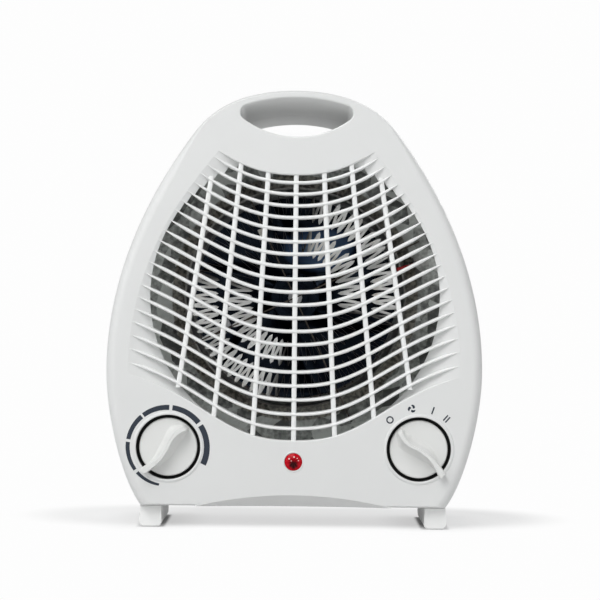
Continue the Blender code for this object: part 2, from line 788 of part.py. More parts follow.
def grille_uprights():
    """The seven ribs that cross the bars, each set into the opening's edge at both ends."""
    ribs = []
    reach = UPRIGHT_COUNT // 2
    for number in range(-reach, reach + 1):
        top_z = opening_end(number, 1) + EMBED
        low_z = opening_end(number, -1) - EMBED
        rings = []
        for y, width in (
            (FACE_Y + UPRIGHT_SETBACK, UPRIGHT_WIDTH),
            (FACE_Y + SURROUND_DEPTH + EMBED, UPRIGHT_WIDTH),
        ):
            top_x = upright_x(number, top_z)
            low_x = upright_x(number, low_z)
            rings.append([
                (low_x - width / 2, y, low_z), (low_x + width / 2, y, low_z),
                (top_x + width / 2, y, top_z), (top_x - width / 2, y, top_z),
            ])
        points, faces = loft(rings)
        ribs.append(mesh_object(f"rib_{number}", points, faces, "shell_plastic"))
    return gathered("ribs", ribs)


# Front shell

def both_sides(places):
    """Each place and its mirror image across X."""
    return [(side * x, z) for x, z in places for side in (1, -1)]


def front_form(name, wall, y_open):
    """The front shell's outer form for a wall of 0, or its cavity for the wall's thickness."""
    loop = body_outline()
    draft = edge_values(loop, DRAFT, DRAFT, 0.0)
    soft = edge_values(loop, FLANK_ROUND, TOP_ROUND, BOTTOM_ROUND)
    soft = np.maximum(soft - wall, 0.2 * MM)
    depth = EDGE_DEPTH - wall
    rings = [at_depth(inset(loop, np.full(len(loop), wall)), y_open)]
    for degrees in (0, 90) if wall else (0, 35, 65, 90):
        turn = math.radians(degrees)
        moved = inset(loop, wall + draft + soft * (1 - math.cos(turn)))
        rings.append(at_depth(moved, FACE_Y + wall + depth * (1 - math.sin(turn))))
    points, faces = loft(rings)
    return mesh_object(name, points, faces, "shell_plastic")


def well_floor_y():
    """The front of the floor of a knob's well."""
    return FACE_Y + KNOB_WELL_DEPTH


def screw_hole(x, z, y_front, y_back):
    """A cutter for one screw's hole along Y."""
    return rod("hole", SCREW_HOLE_RADIUS, y_front, y_back, "", x, z, SCREW_SIDES)


def prong_slot(name, side, middle_y):
    """A slot in the bottom wall for one of a foot's prongs."""
    half_x = FOOT_PRONG_WIDTH / 2 + GAP
    half_y = FOOT_PRONG_LENGTH / 2 + GAP
    x = side * FOOT_X
    return block(
        name,
        (x - half_x, middle_y - half_y, BODY_BOTTOM_Z - WALL),
        (x + half_x, middle_y + half_y, BODY_BOTTOM_Z + 2 * WALL),
    )


def post_places():
    """The middles of the right-hand screw posts, as (x, z) pairs."""
    return (
        (SHOULDER_X - POST_SHOULDER_IN, SHOULDER_Z - POST_SHOULDER_DOWN),
        (BODY_HALF_WIDTH - POST_FLANK_IN, POST_FLANK_Z),
        (BASE_HALF_WIDTH - POST_BASE_IN, BODY_BOTTOM_Z + POST_BASE_UP),
    )


def ear_place():
    """How far the middle of the duct's ear stands from the middle plane."""
    return DUCT_MOUTH_RADIUS + DUCT_FLANGE_WIDTH + DUCT_EAR_REACH


def ear_boss_back_y():
    """The back of the bosses that the duct's ears are screwed to."""
    return FACE_Y + SURROUND_DEPTH + WALL + SURROUND_TIP_DEPTH


def make_front_shell():
    """The front moulding: face, grille, knob wells, half the handle and the screw posts."""
    shell = front_form("front_shell", 0.0, PARTING_Y)
    rings = []
    for x in (-KNOB_X, KNOB_X):
        profile = (
            (0.0, FACE_Y - KNOB_RING_HEIGHT),
            (KNOB_RING_RADIUS - KNOB_RING_HEIGHT, FACE_Y - KNOB_RING_HEIGHT),
            (KNOB_RING_RADIUS, FACE_Y + EMBED / 2),
            (0.0, FACE_Y + EMBED / 2),
        )
        rings.append(turned("ring", profile, "shell_plastic", KNOB_RING_SIDES, x, KNOB_Z))
    add(shell, *rings)
    cut(shell, scoop("scoop", 0.0))

    cavity = front_form("cavity", WALL, PARTING_Y + WALL)
    fill = [
        handle_passage("handle_wall", HANDLE_WALL, FACE_Y, PARTING_Y + 2 * WALL),
        scoop("scoop_wall", WALL * math.sqrt(2)),
        field_wall("field_wall"),
    ]
    for x in (-KNOB_X, KNOB_X):
        wall_back = well_floor_y() + WALL
        fill.append(rod("well_wall", KNOB_WELL_RADIUS + WALL, FACE_Y, wall_back, "", x, KNOB_Z, WELL_SIDES))
    for x, z in both_sides(post_places()):
        fill.append(rod("post", POST_RADIUS, FACE_Y, PARTING_Y + 2 * WALL, "", x, z, POST_SIDES))
    for x in (-ear_place(), ear_place()):
        fill.append(rod("ear_boss", POST_RADIUS, FACE_Y, ear_boss_back_y(), "", x, FAN_Z, POST_SIDES))
    for tool in fill:
        cut(cavity, tool)
    cut(shell, cavity)

    tools = []
    for x in (-KNOB_X, KNOB_X):
        floor = well_floor_y()
        tools.append(rod("well", KNOB_WELL_RADIUS, FACE_Y - WALL, floor, "", x, KNOB_Z, WELL_SIDES))
        hole = SPINDLE_RADIUS + SPINDLE_HOLE_CLEARANCE
        tools.append(rod("spindle_hole", hole, floor - WALL, floor + 2 * WALL, "", x, KNOB_Z, HOLE_SIDES))
        for offset in (-CONTROL_SCREW_OFFSET, CONTROL_SCREW_OFFSET):
            tools.append(screw_hole(x + offset, KNOB_Z, floor - WALL, floor + 2 * WALL))
    tools.append(rod("lamp_hole", LAMP_RADIUS + GAP, FACE_Y - WALL, FACE_Y + 2 * WALL, z=LAMP_Z))
    for x, z in both_sides(post_places()):
        tools.append(screw_hole(x, z, PARTING_Y - SHELL_SCREW_LENGTH, PARTING_Y + WALL))
    for x in (-ear_place(), ear_place()):
        back = ear_boss_back_y()
        tools.append(screw_hole(x, FAN_Z, back - SHORT_SCREW_LENGTH, back + WALL))
    for side in (-1, 1):
        tools.append(prong_slot("prong_slot", side, FOOT_FRONT_PRONG_Y))
    tools.append(handle_passage("passage", 0.0, 0.0, PARTING_Y + WALL, soft=True))
    tools.append(field_cutter("field"))
    for tool in tools:
        cut(shell, tool)
    add(shell, grille_bars())
    add(shell, grille_uprights())
    return shell


# Rear shell

def rear_form(name, wall, y_open):
    """The rear shell's outer form for a wall of 0, or its cavity for the wall's thickness."""
    loop = body_outline()
    soft = edge_values(loop, BACK_ROUND, BACK_TOP_ROUND, BACK_BOTTOM_ROUND)
    draft = edge_values(loop, DRAFT, DRAFT, 0.0)
    inner = np.maximum(soft - wall, 0.5 * MM)
    rings = [at_depth(inset(loop, np.full(len(loop), wall)), y_open)]
    depth = BACK_ROUND - wall
    for degrees in (0, 90) if wall else (0, 35, 65, 90):
        turn = math.radians(degrees)
        moved = inset(loop, wall + draft + inner * (1 - math.cos(turn)))
        y = back_depth(moved[:, 1]) - wall - depth * (1 - math.sin(turn))
        rings.append(at_depth(moved, y))
    edge = moved
    middle = np.array([0.0, FAN_Z])
    for share in BACK_RING_SHARES:
        moved = middle + (edge - middle) * share
        rings.append(at_depth(moved, back_depth(moved[:, 1]) - wall))
    points, faces = loft(rings)
    return mesh_object(name, points, faces, "shell_plastic")


def intake_drum(name, shrink, back_y):
    """The round raised part of the back wall, smaller by shrink for its hollow."""
    radius = INTAKE_RADIUS - shrink
    profile = (
        (0.0, BACK_Y - 4 * WALL), (radius, BACK_Y - 4 * WALL), (radius - EMBED, back_y - 2 * EMBED),
        (radius - 3 * EMBED, back_y), (0.0, back_y),
    )
    return turned(name, profile, "shell_plastic", DRUM_SIDES, z=FAN_Z)


def intake_slots():
    """Level slots within a circle, parted by two upright ribs."""
    slots = []
    rows = int((INTAKE_SLOT_RADIUS - INTAKE_SLOT_HEIGHT) / INTAKE_SLOT_PITCH)
    for row in range(-rows, rows + 1):
        z = FAN_Z + row * INTAKE_SLOT_PITCH
        edge = abs(row) * INTAKE_SLOT_PITCH + INTAKE_SLOT_HEIGHT / 2
        reach = math.sqrt(max(INTAKE_SLOT_RADIUS**2 - edge**2, 0.0))
        half_rib = INTAKE_RIB_WIDTH / 2
        spans = [(-INTAKE_RIB_X + half_rib, INTAKE_RIB_X - half_rib)]
        if reach < INTAKE_RIB_X + half_rib + INTAKE_SLOT_HEIGHT:
            reach = min(reach, INTAKE_RIB_X - half_rib)
            spans = [(-reach, reach)]
        else:
            spans.append((INTAKE_RIB_X + half_rib, reach))
            spans.append((-reach, -INTAKE_RIB_X - half_rib))
        for left, right in spans:
            slots.append(
                block(
                    "slot",
                    (left, INTAKE_BACK_Y - 2 * WALL, z - INTAKE_SLOT_HEIGHT / 2),
                    (right, INTAKE_BACK_Y + WALL, z + INTAKE_SLOT_HEIGHT / 2),
                )
            )
    return gathered("slots", slots)


def column_floor_y():
    """Where a shell screw's head rests, inside its column."""
    return PARTING_Y + GAP + COLUMN_FLOOR


def motor_post_front_y():
    """The front of the two posts that carry the motor."""
    return MOTOR_FRONT_Y + STATOR_DEPTH + GAP + BRACKET_SHEET + GAP


def make_rear_shell():
    """The rear moulding: intake, half the handle, screw columns and the motor's posts."""
    open_y = PARTING_Y + GAP
    shell = rear_form("rear_shell", 0.0, open_y)
    add(shell, intake_drum("drum", 0.0, INTAKE_BACK_Y))
    cavity = rear_form("cavity", WALL, open_y - WALL)
    add(cavity, intake_drum("drum_hollow", WALL, INTAKE_BACK_Y - WALL))
    fill = [handle_passage("handle_wall", HANDLE_WALL, open_y - 2 * WALL, INTAKE_BACK_Y)]
    for x, z in both_sides(post_places()):
        fill.append(rod("column", COLUMN_RADIUS, open_y, INTAKE_BACK_Y, "", x, z, HOLE_SIDES))
    post_front = motor_post_front_y()
    for x in (-MOTOR_SCREW_X, MOTOR_SCREW_X):
        fill.append(rod("motor_post", MOTOR_POST_RADIUS, post_front, INTAKE_BACK_Y, "", x, FAN_Z, POST_SIDES))
    for tool in fill:
        cut(cavity, tool)
    cut(shell, cavity)
    tools = [handle_passage("passage", 0.0, open_y - WALL, INTAKE_BACK_Y), intake_slots()]
    for x, z in both_sides(post_places()):
        tools.append(rod("well", SCREW_WELL_RADIUS, column_floor_y(), INTAKE_BACK_Y, "", x, z, HOLE_SIDES))
        tools.append(screw_hole(x, z, open_y - WALL, column_floor_y() + EMBED))
    for x in (-MOTOR_SCREW_X, MOTOR_SCREW_X):
        tools.append(screw_hole(x, FAN_Z, post_front - WALL, post_front + SHORT_SCREW_LENGTH))
    gland_front = BACK_Y - 3 * WALL
    tools.append(
        rod("gland_hole", GLAND_RADIUS + GAP, gland_front, BACK_Y + WALL, "", GLAND_X, GLAND_Z, HOLE_SIDES)
    )
    for side in (-1, 1):
        tools.append(prong_slot("prong_slot", side, FOOT_REAR_PRONG_Y))
    for tool in tools:
        cut(shell, tool)
    return shell


# Feet

def make_foot(name, side):
    """A long foot with rounded lower edges, a raised rear end and two hooked prongs."""
    top_z = BODY_BOTTOM_Z - GAP
    x = side * FOOT_X

    def section(y, low_z, soft):
        points = [(x - FOOT_TOP_WIDTH / 2, top_z), (x - FOOT_LOW_WIDTH / 2, low_z + soft)]
        for degrees in (30, 60, 90):
            turn = math.radians(degrees)
            points.append(
                (x - FOOT_LOW_WIDTH / 2 + soft * (1 - math.cos(turn)), low_z + soft * (1 - math.sin(turn)))
            )
        mirrored = [(2 * x - px, pz) for px, pz in reversed(points)]
        return [(px, y, pz) for px, pz in points + mirrored]

    middle_y = (FOOT_FRONT_Y + FOOT_REAR_Y) / 2
    rings = [
        section(FOOT_FRONT_Y, 0.4 * FOOT_CORNER, FOOT_CORNER),
        section(FOOT_FRONT_Y + 0.4 * FOOT_CORNER, 0.0, FOOT_CORNER),
        section(middle_y, 0.0, FOOT_CORNER),
        section(FOOT_REAR_Y - FOOT_REAR_RISE, 0.0, FOOT_CORNER),
        section(FOOT_REAR_Y, FOOT_REAR_RISE, FOOT_CORNER),
    ]
    points, faces = loft(rings)
    foot = mesh_object(name, points, faces, "foot_plastic")
    prongs = []
    for prong_y in (FOOT_FRONT_PRONG_Y, FOOT_REAR_PRONG_Y):
        half_x = FOOT_PRONG_WIDTH / 2
        half_y = FOOT_PRONG_LENGTH / 2
        neck_z = BODY_BOTTOM_Z + WALL + GAP
        outline = [
            (x - half_x, top_z - EMBED), (x + half_x, top_z - EMBED), (x + half_x, neck_z),
            (x + half_x + FOOT_PRONG_HOOK, neck_z), (x + half_x, neck_z + 2 * FOOT_PRONG_HOOK),
            (x - half_x, neck_z + 2 * FOOT_PRONG_HOOK), (x - half_x - FOOT_PRONG_HOOK, neck_z),
            (x - half_x, neck_z),
        ]
        prongs.append(prism("prong", outline, prong_y - half_y, prong_y + half_y))
    return add(foot, gathered("prongs", prongs))


# Controls

def knob_frame(x, rest):
    """The across and along directions of a knob whose pointer stands at an angle from the top."""
    along = np.array([math.sin(rest), math.cos(rest)])
    across = np.array([math.cos(rest), -math.sin(rest)])
    return np.array([x, KNOB_Z]), across, along


def make_knob(name, x, rest):
    """A control knob: a disc with a curved grip ridge, a pointer end and a nib over the rim."""
    disc_front = FACE_Y + KNOB_SETBACK
    disc_back = disc_front + KNOB_THICKNESS
    hub_back = well_floor_y() - GAP
    hub_radius = SPINDLE_RADIUS + WALL
    profile = (
        (0.0, disc_front), (KNOB_RADIUS - KNOB_EDGE, disc_front), (KNOB_RADIUS, disc_front + KNOB_EDGE),
        (KNOB_RADIUS, disc_back), (hub_radius, disc_back), (hub_radius, hub_back), (0.0, hub_back),
    )
    knob = turned(name, profile, "knob_plastic", KNOB_SIDES, x, KNOB_Z)
    centre, across, along = knob_frame(x, rest)
    height = disc_front - KNOB_TOP_Y

    def ridge(label, start, end, count, low_y, flank_share):
        """A stretch of the ridge, from one radius to another along the pointer's line."""
        rings = []
        for place in np.linspace(start, end, count):
            turn = place / KNOB_RADIUS
            sway = KNOB_RIDGE_SWAY * math.sin(math.pi * turn)
            rest_share = (KNOB_POINTER_RADIUS - place) / (KNOB_POINTER_FALL * KNOB_RADIUS)
            end_share = min(max(rest_share, 0.0), 1.0)
            top_y = disc_front - KNOB_RIDGE_LEAST - (height - KNOB_RIDGE_LEAST) * math.sqrt(end_share)
            top = KNOB_RIDGE_WIDTH / 2 * (1 + end_share) / 2
            widest = top + KNOB_RIDGE_FLANK * math.cos(math.pi / 2 * min(abs(turn), 1.0)) * flank_share
            ring = []
            for offset, y in ((-top, top_y), (top, top_y), (widest, low_y), (-widest, low_y)):
                spot = centre + along * place + across * (sway + offset)
                ring.append((spot[0], y, spot[1]))
            rings.append(ring)
        points, faces = loft(rings)
        return mesh_object(label, points, faces, "knob_plastic")

    inner_end = KNOB_EDGE - KNOB_RADIUS
    outer_end = KNOB_POINTER_RADIUS - KNOB_EDGE / 4
    add(knob, ridge("ridge", inner_end, outer_end, 12, disc_front + EMBED / 2, 1.0))
    nib_low_y = FACE_Y - KNOB_RING_HEIGHT - 2 * GAP
    add(knob, ridge("nib", -KNOB_NIB_RADIUS, inner_end + 2 * EMBED, 4, nib_low_y, 0.0))
    bore = SPINDLE_RADIUS + GAP
    cut(knob, rod("bore", bore, disc_front + KNOB_FACE_WALL, hub_back + WALL, "", x, KNOB_Z, HOLE_SIDES))
    return knob


def make_spindle(name, x):
    """The control's spindle, from the knob's bore to the body's socket."""
    front = FACE_Y + KNOB_SETBACK + KNOB_FACE_WALL + GAP
    back = control_body_front_y() + SPINDLE_SOCKET
    return rod(name, SPINDLE_RADIUS, front, back, "steel", x, KNOB_Z, HOLE_SIDES)


def control_body_front_y():
    """The front of a control's body, just behind the floor of its well."""
    return well_floor_y() + WALL + GAP


def make_control_body(name, x, finish_name, tabs):
    """A thermostat or switch body with a socket for its spindle, screw holes and tabs."""
    front = control_body_front_y()
    back = front + CONTROL_BODY_DEPTH
    outline = [
        (x + across * CONTROL_BODY_SIZE, KNOB_Z + up * CONTROL_BODY_SIZE)
        for across, up in (
            (-0.5, -0.25), (-0.25, -0.5), (0.25, -0.5), (0.5, -0.25),
            (0.5, 0.25), (0.25, 0.5), (-0.25, 0.5), (-0.5, 0.25),
        )
    ]
    body = prism(name, outline, front, back, finish_name)
    socket_back = front + SPINDLE_SOCKET + GAP
    tools = [rod("socket", SPINDLE_RADIUS + GAP, front - WALL, socket_back, "", x, KNOB_Z, HOLE_SIDES)]
    for offset in (-CONTROL_SCREW_OFFSET, CONTROL_SCREW_OFFSET):
        tools.append(screw_hole(x + offset, KNOB_Z, front - WALL, front + SHORT_SCREW_LENGTH))
    cut(body, *tools)
    blades = []
    for number in range(tabs):
        tab_x = x + (number - (tabs - 1) / 2) * TAB_PITCH
        low = (tab_x - TAB_WIDTH / 2, back - EMBED, KNOB_Z - TAB_SHEET / 2)
        high = (tab_x + TAB_WIDTH / 2, back + TAB_LENGTH, KNOB_Z + TAB_SHEET / 2)
        blades.append(block("tab", low, high))
    return add(body, gathered("tabs", blades))


def make_screw(name, x, z, head_y, length, facing=1):
    """A pan-head screw along Y. Its head is towards +Y for a facing of 1."""
    head_end = head_y + facing * SCREW_HEAD_HEIGHT
    profile = (
        (0.0, head_end),
        (0.7 * SCREW_HEAD_RADIUS, head_end),
        (SCREW_HEAD_RADIUS, (head_y + head_end) / 2),
        (SCREW_HEAD_RADIUS, head_y),
        (SCREW_RADIUS, head_y),
        (SCREW_RADIUS, head_y - facing * (length - SCREW_RADIUS)),
        (0.0, head_y - facing * length),
    )
    return turned(name, profile, "steel", SCREW_SIDES, x, z)


# Pilot lamp

def make_lamp():
    """The red lens with its domed front, and the lamp's body behind the face."""
    collar_y = FACE_Y + WALL + GAP
    collar_radius = LAMP_RADIUS + LAMP_COLLAR_WIDTH
    lens_back = collar_y + LAMP_COLLAR_SHEET
    lens = turned(
        "lamp_lens",
        (
            (0.0, FACE_Y - LAMP_DOME), (0.5 * LAMP_RADIUS, FACE_Y - 0.85 * LAMP_DOME),
            (0.85 * LAMP_RADIUS, FACE_Y - 0.4 * LAMP_DOME), (LAMP_RADIUS, FACE_Y + GAP),
            (LAMP_RADIUS, collar_y), (collar_radius, collar_y), (collar_radius, lens_back),
            (0.0, lens_back),
        ),
        "lamp_red", LAMP_LENS_SIDES, z=LAMP_Z,
    )
    start = lens_back + GAP
    shoulder = start + LAMP_COLLAR_SHEET
    neck_radius = LAMP_RADIUS - LAMP_COLLAR_SHEET
    body = turned(
        "lamp_body",
        (
            (0.0, start), (collar_radius, start), (collar_radius, shoulder), (neck_radius, shoulder),
            (neck_radius, start + LAMP_BODY_LENGTH), (0.0, start + LAMP_BODY_LENGTH),
        ),
        "lamp_white", LAMP_BODY_SIDES, z=LAMP_Z,
    )
    return lens, body


# Air duct and heating element

def duct_mouth_y():
    """The front of the duct's flange, just behind the surround."""
    return FACE_Y + SURROUND_DEPTH + WALL + SURROUND_TIP_DEPTH + GAP


def duct_radius(y):
    """The duct's inner radius at a depth within its taper."""
    front = duct_mouth_y() + DUCT_SHEET
    share = (y - front) / (DUCT_THROAT_Y - front)
    return DUCT_MOUTH_RADIUS + (DUCT_THROAT_RADIUS - DUCT_MOUTH_RADIUS) * min(max(share, 0.0), 1.0)


def make_duct():
    """The folded sheet duct: a flange with two ears, a taper and a throat round the fan."""
    mouth = duct_mouth_y()
    back = mouth + DUCT_SHEET
    flange = DUCT_MOUTH_RADIUS + DUCT_FLANGE_WIDTH
    profile = (
        (DUCT_MOUTH_RADIUS, mouth), (flange, mouth), (flange, back),
        (DUCT_MOUTH_RADIUS + DUCT_SHEET, back), (DUCT_THROAT_RADIUS + DUCT_SHEET, DUCT_THROAT_Y),
        (DUCT_THROAT_RADIUS + DUCT_SHEET, DUCT_REAR_Y), (DUCT_THROAT_RADIUS, DUCT_REAR_Y),
        (DUCT_THROAT_RADIUS, DUCT_THROAT_Y),
    )
    duct = turned("air_duct", profile, "galvanised_sheet", DUCT_SIDES, z=FAN_Z)
    for side in (-1, 1):
        ear_x = side * ear_place()
        low_x, high_x = sorted((side * (DUCT_MOUTH_RADIUS + EMBED), ear_x))
        low = (low_x, mouth, FAN_Z - DUCT_EAR_RADIUS)
        high = (high_x, back, FAN_Z + DUCT_EAR_RADIUS)
        ear = add(
            block("ear", low, high),
            rod("ear_end", DUCT_EAR_RADIUS, mouth, back, "", ear_x, FAN_Z, HOLE_SIDES),
        )
        add(duct, ear)
        cut(duct, screw_hole(ear_x, FAN_Z, mouth - WALL, back + WALL))
    centre = min(lead_path(), key=lambda p: abs(math.hypot(p[0], p[2] - FAN_Z) - duct_radius(p[1])))
    outward = (centre - (0.0, centre[1], FAN_Z)) / (2 * LEAD_HOLE_RADIUS)
    outward /= 2 * LEAD_HOLE_RADIUS * np.linalg.norm(outward) ** 2
    cut(duct, tube("lead_hole", [centre - outward, centre + outward], LEAD_HOLE_RADIUS, "", 10))
    return duct


def lead_path():
    """The red lead's path: from the switch up past the duct and in to the outer wire's end."""
    turn = BOARD_ANGLE - math.pi / OUTER_WIRE[2] * 2
    inner = np.array([math.cos(turn), 0.0, math.sin(turn)])
    start = inner * (OUTER_WIRE[1] + LEAD_RADIUS + WIRE_RADIUS + GAP) + (0.0, WIRE_FRONT_Y, FAN_Z)
    bend = inner * LEAD_BEND_RADIUS + (0.0, LEAD_BEND_Y, FAN_Z)
    tab_y = control_body_front_y() + CONTROL_BODY_DEPTH + TAB_LENGTH / 2
    end = np.array([KNOB_X + TAB_PITCH, tab_y, KNOB_Z + TAB_SHEET / 2 + GAP + LEAD_RADIUS])
    reach = bend - start
    return np.concatenate([
        bezier(start, start + reach / 3, bend - reach / 3, bend, 6),
        bezier(bend, bend + 0.6 * reach, end + (LEAD_SLACK, LEAD_SLACK, 4 * LEAD_SLACK), end, 12),
        [end],
    ])


def make_lead():
    """The red lead between the selector switch and the heating wire."""
    return tube("heater_lead", lead_path(), LEAD_RADIUS, "red_lead", 6)


def zigzag(inner, outer, waves):
    """The corners of a zigzag wire ring, one open turn that leaves a wave's gap."""
    steps = np.arange(2 * waves - 1)
    turns = BOARD_ANGLE + math.pi / waves * steps
    outward = steps % 2 == 0
    radius = np.where(outward, outer, inner)
    y = np.where(outward, WIRE_FRONT_Y, WIRE_REAR_Y)
    return np.stack([radius * np.cos(turns), y, FAN_Z + radius * np.sin(turns)], axis=1)


def least_gap(corners):
    """The least distance between strokes that don't follow each other, less the wire."""
    starts = corners[:-1]
    ends = corners[1:]
    shares = np.linspace(0.0, 1.0, 9)[:, None, None]
    spots = starts + (ends - starts) * shares
    least = 1.0
    for i in range(len(starts) - 2):
        apart = spots[:, None, i] - spots[None, :, i + 2]
        least = min(least, float(np.linalg.norm(apart, axis=2).min()))
    return least - 2 * WIRE_RADIUS


def make_wire(name, ring):
    """A heating wire bent in a zigzag round the boards."""
    corners = zigzag(*ring)
    print(f"{name}: least gap between strokes {least_gap(corners) / MM:.2f} mm")
    return tube(name, corners, WIRE_RADIUS, "nichrome", 4)


def board_outline():
    """A mica board's outline in its own plane: distance from the axis and depth."""
    fold = math.cos(math.pi / DUCT_SIDES)
    front = duct_radius(BOARD_FRONT_Y) * fold - GAP
    rear = duct_radius(BOARD_REAR_Y) * fold - GAP
    return [(-front, BOARD_FRONT_Y), (front, BOARD_FRONT_Y), (rear, BOARD_REAR_Y), (-rear, BOARD_REAR_Y)]


def on_board(turn, across, y, off):
    """A point of a board's plane, moved off it sideways."""
    x = across * math.cos(turn) - off * math.sin(turn)
    z = FAN_Z + across * math.sin(turn) + off * math.cos(turn)
    return (x, y, z)


def board_block(name, turn, low, high, off_low, off_high, finish_name="mica"):
    """A block on a board, between two (across, y) corners and two distances off its plane."""
    rings = []
    for off in (off_low, off_high):
        rings.append([
            on_board(turn, low[0], low[1], off), on_board(turn, high[0], low[1], off),
            on_board(turn, high[0], high[1], off), on_board(turn, low[0], high[1], off),
        ])
    points, faces = loft(rings)
    return mesh_object(name, points, faces, finish_name)


def make_board(name, turn, slot_in_front):
    """A mica board with holes for the wires and half of the crossing slot."""
    half = BOARD_SHEET / 2
    rings = []
    for off in (-half, half):
        rings.append([on_board(turn, across, y, off) for across, y in board_outline()])
    points, faces = loft(rings)
    board = mesh_object(name, points, faces, "mica")
    middle_y = (BOARD_FRONT_Y + BOARD_REAR_Y) / 2
    slot = half + GAP
    near, far = middle_y - GAP / 2, BOARD_REAR_Y + WALL
    if slot_in_front:
        near, far = BOARD_FRONT_Y - WALL, middle_y + GAP / 2
    tools = [board_block("slot", turn, (-slot, near), (slot, far), -WALL, WALL)]
    hole = WIRE_RADIUS + WIRE_HOLE_CLEARANCE
    for inner, outer, waves in (OUTER_WIRE, INNER_WIRE):
        stroke = (outer - inner) * (half + GAP + hole) * waves / (math.pi * outer)
        rise = (WIRE_REAR_Y - WIRE_FRONT_Y) * stroke / (outer - inner)
        for side in (-1, 1):
            low, high = sorted((side * (outer + hole), side * (outer - stroke)))
            near_corner = (low, WIRE_FRONT_Y - hole)
            far_corner = (high, WIRE_FRONT_Y + rise + hole)
            tools.append(board_block("hole", turn, near_corner, far_corner, -WALL, WALL))
    for tool in tools:
        cut(board, tool)
    return board


def make_board_parts():
    """The thermal cut-out and the thermal fuse, each lying on a board."""
    turn = BOARD_ANGLE
    off = BOARD_SHEET / 2 + GAP
    middle = (INNER_WIRE[1] + OUTER_WIRE[0]) / 2
    cutout = board_block(
        "thermal_cutout", turn, (-middle - CUTOUT_WIDTH / 2, CUTOUT_FRONT_Y),
        (-middle + CUTOUT_WIDTH / 2, CUTOUT_REAR_Y), off, off + CUTOUT_HEIGHT, "ceramic",
    )
    fuse = board_block(
        "thermal_fuse", turn + math.pi / 2, (middle - FUSE_WIDTH / 2, FUSE_FRONT_Y),
        (middle + FUSE_WIDTH / 2, FUSE_REAR_Y), off, off + FUSE_HEIGHT, "steel",
    )
    return cutout, fuse


# Fan and motor

def make_impeller():
    """The fan: a cupped hub with a boss and pitched, curved blades."""
    front = IMPELLER_FRONT_Y
    back = front + IMPELLER_DEPTH
    wall = IMPELLER_HUB_WALL
    bore = SHAFT_RADIUS + GAP
    cup_y = front + 1.5 * wall
    boss_back = back - 2 * wall
    profile = (
        (bore, front), (IMPELLER_HUB_RADIUS - wall, front), (IMPELLER_HUB_RADIUS, front + wall),
        (IMPELLER_HUB_RADIUS, back), (IMPELLER_HUB_RADIUS - wall, back), (IMPELLER_HUB_RADIUS - wall, cup_y),
        (IMPELLER_BOSS_RADIUS, cup_y), (IMPELLER_BOSS_RADIUS, boss_back), (bore, boss_back),
    )
    impeller = turned("fan_impeller", profile, "fan_plastic", HUB_SIDES, z=FAN_Z)
    pitch = 2 * math.pi / BLADE_COUNT
    radii = np.linspace(IMPELLER_HUB_RADIUS - wall / 2, IMPELLER_RADIUS, 5)[:, None]
    chord = np.linspace(0.0, 1.0, 4)[None, :]
    reach = (radii - radii[0]) / (radii[-1] - radii[0])
    spread = BLADE_ROOT_SHARE + (1 - BLADE_ROOT_SHARE) * np.sin(reach * 0.75 * math.pi)
    width = (pitch - BLADE_OVERLAP) * spread
    depth_span = (IMPELLER_DEPTH - 2 * BLADE_THICKNESS) * (1 - BLADE_TWIST * reach)
    middle_y = (front + back) / 2
    blades = []
    for number in range(BLADE_COUNT):
        turn = number * pitch + BLADE_SWEEP * reach + width * (chord - 0.5)
        y = middle_y + depth_span * (chord - 0.5) - BLADE_CAMBER * np.sin(chord * math.pi)
        x = radii * np.cos(turn)
        z = FAN_Z + radii * np.sin(turn)
        sheets = [np.stack([x, y + side * BLADE_THICKNESS / 2, z], axis=2) for side in (-1, 1)]
        points, faces = slab(*sheets)
        blades.append(mesh_object(f"blade_{number}", points, faces, "fan_plastic"))
    return add(impeller, gathered("blades", blades))


def make_shaft_and_rotor():
    """The steel shaft, the rotor with a bore for it and the clip in front of the fan."""
    front = IMPELLER_FRONT_Y - SHAFT_FRONT_REACH
    stator_back = MOTOR_FRONT_Y + STATOR_DEPTH
    back = stator_back + BRACKET_STANDOFF + BRACKET_SHEET + SHAFT_REAR_REACH
    shaft = rod("motor_shaft", SHAFT_RADIUS, front, back, "steel", z=FAN_Z, segments=SHAFT_SIDES)
    bore = SHAFT_RADIUS + GAP
    rotor = turned(
        "motor_rotor",
        (
            (bore, MOTOR_FRONT_Y), (ROTOR_RADIUS, MOTOR_FRONT_Y), (ROTOR_RADIUS, stator_back),
            (bore, stator_back),
        ),
        "lamination", HOLE_SIDES, z=FAN_Z,
    )
    clip_back = IMPELLER_FRONT_Y - GAP
    clip_front = clip_back - CLIP_SHEET
    clip = turned(
        "fan_clip",
        ((bore, clip_front), (CLIP_RADIUS, clip_front), (CLIP_RADIUS, clip_back), (bore, clip_back)),
        "steel", SHAFT_SIDES, z=FAN_Z,
    )
    return shaft, rotor, clip


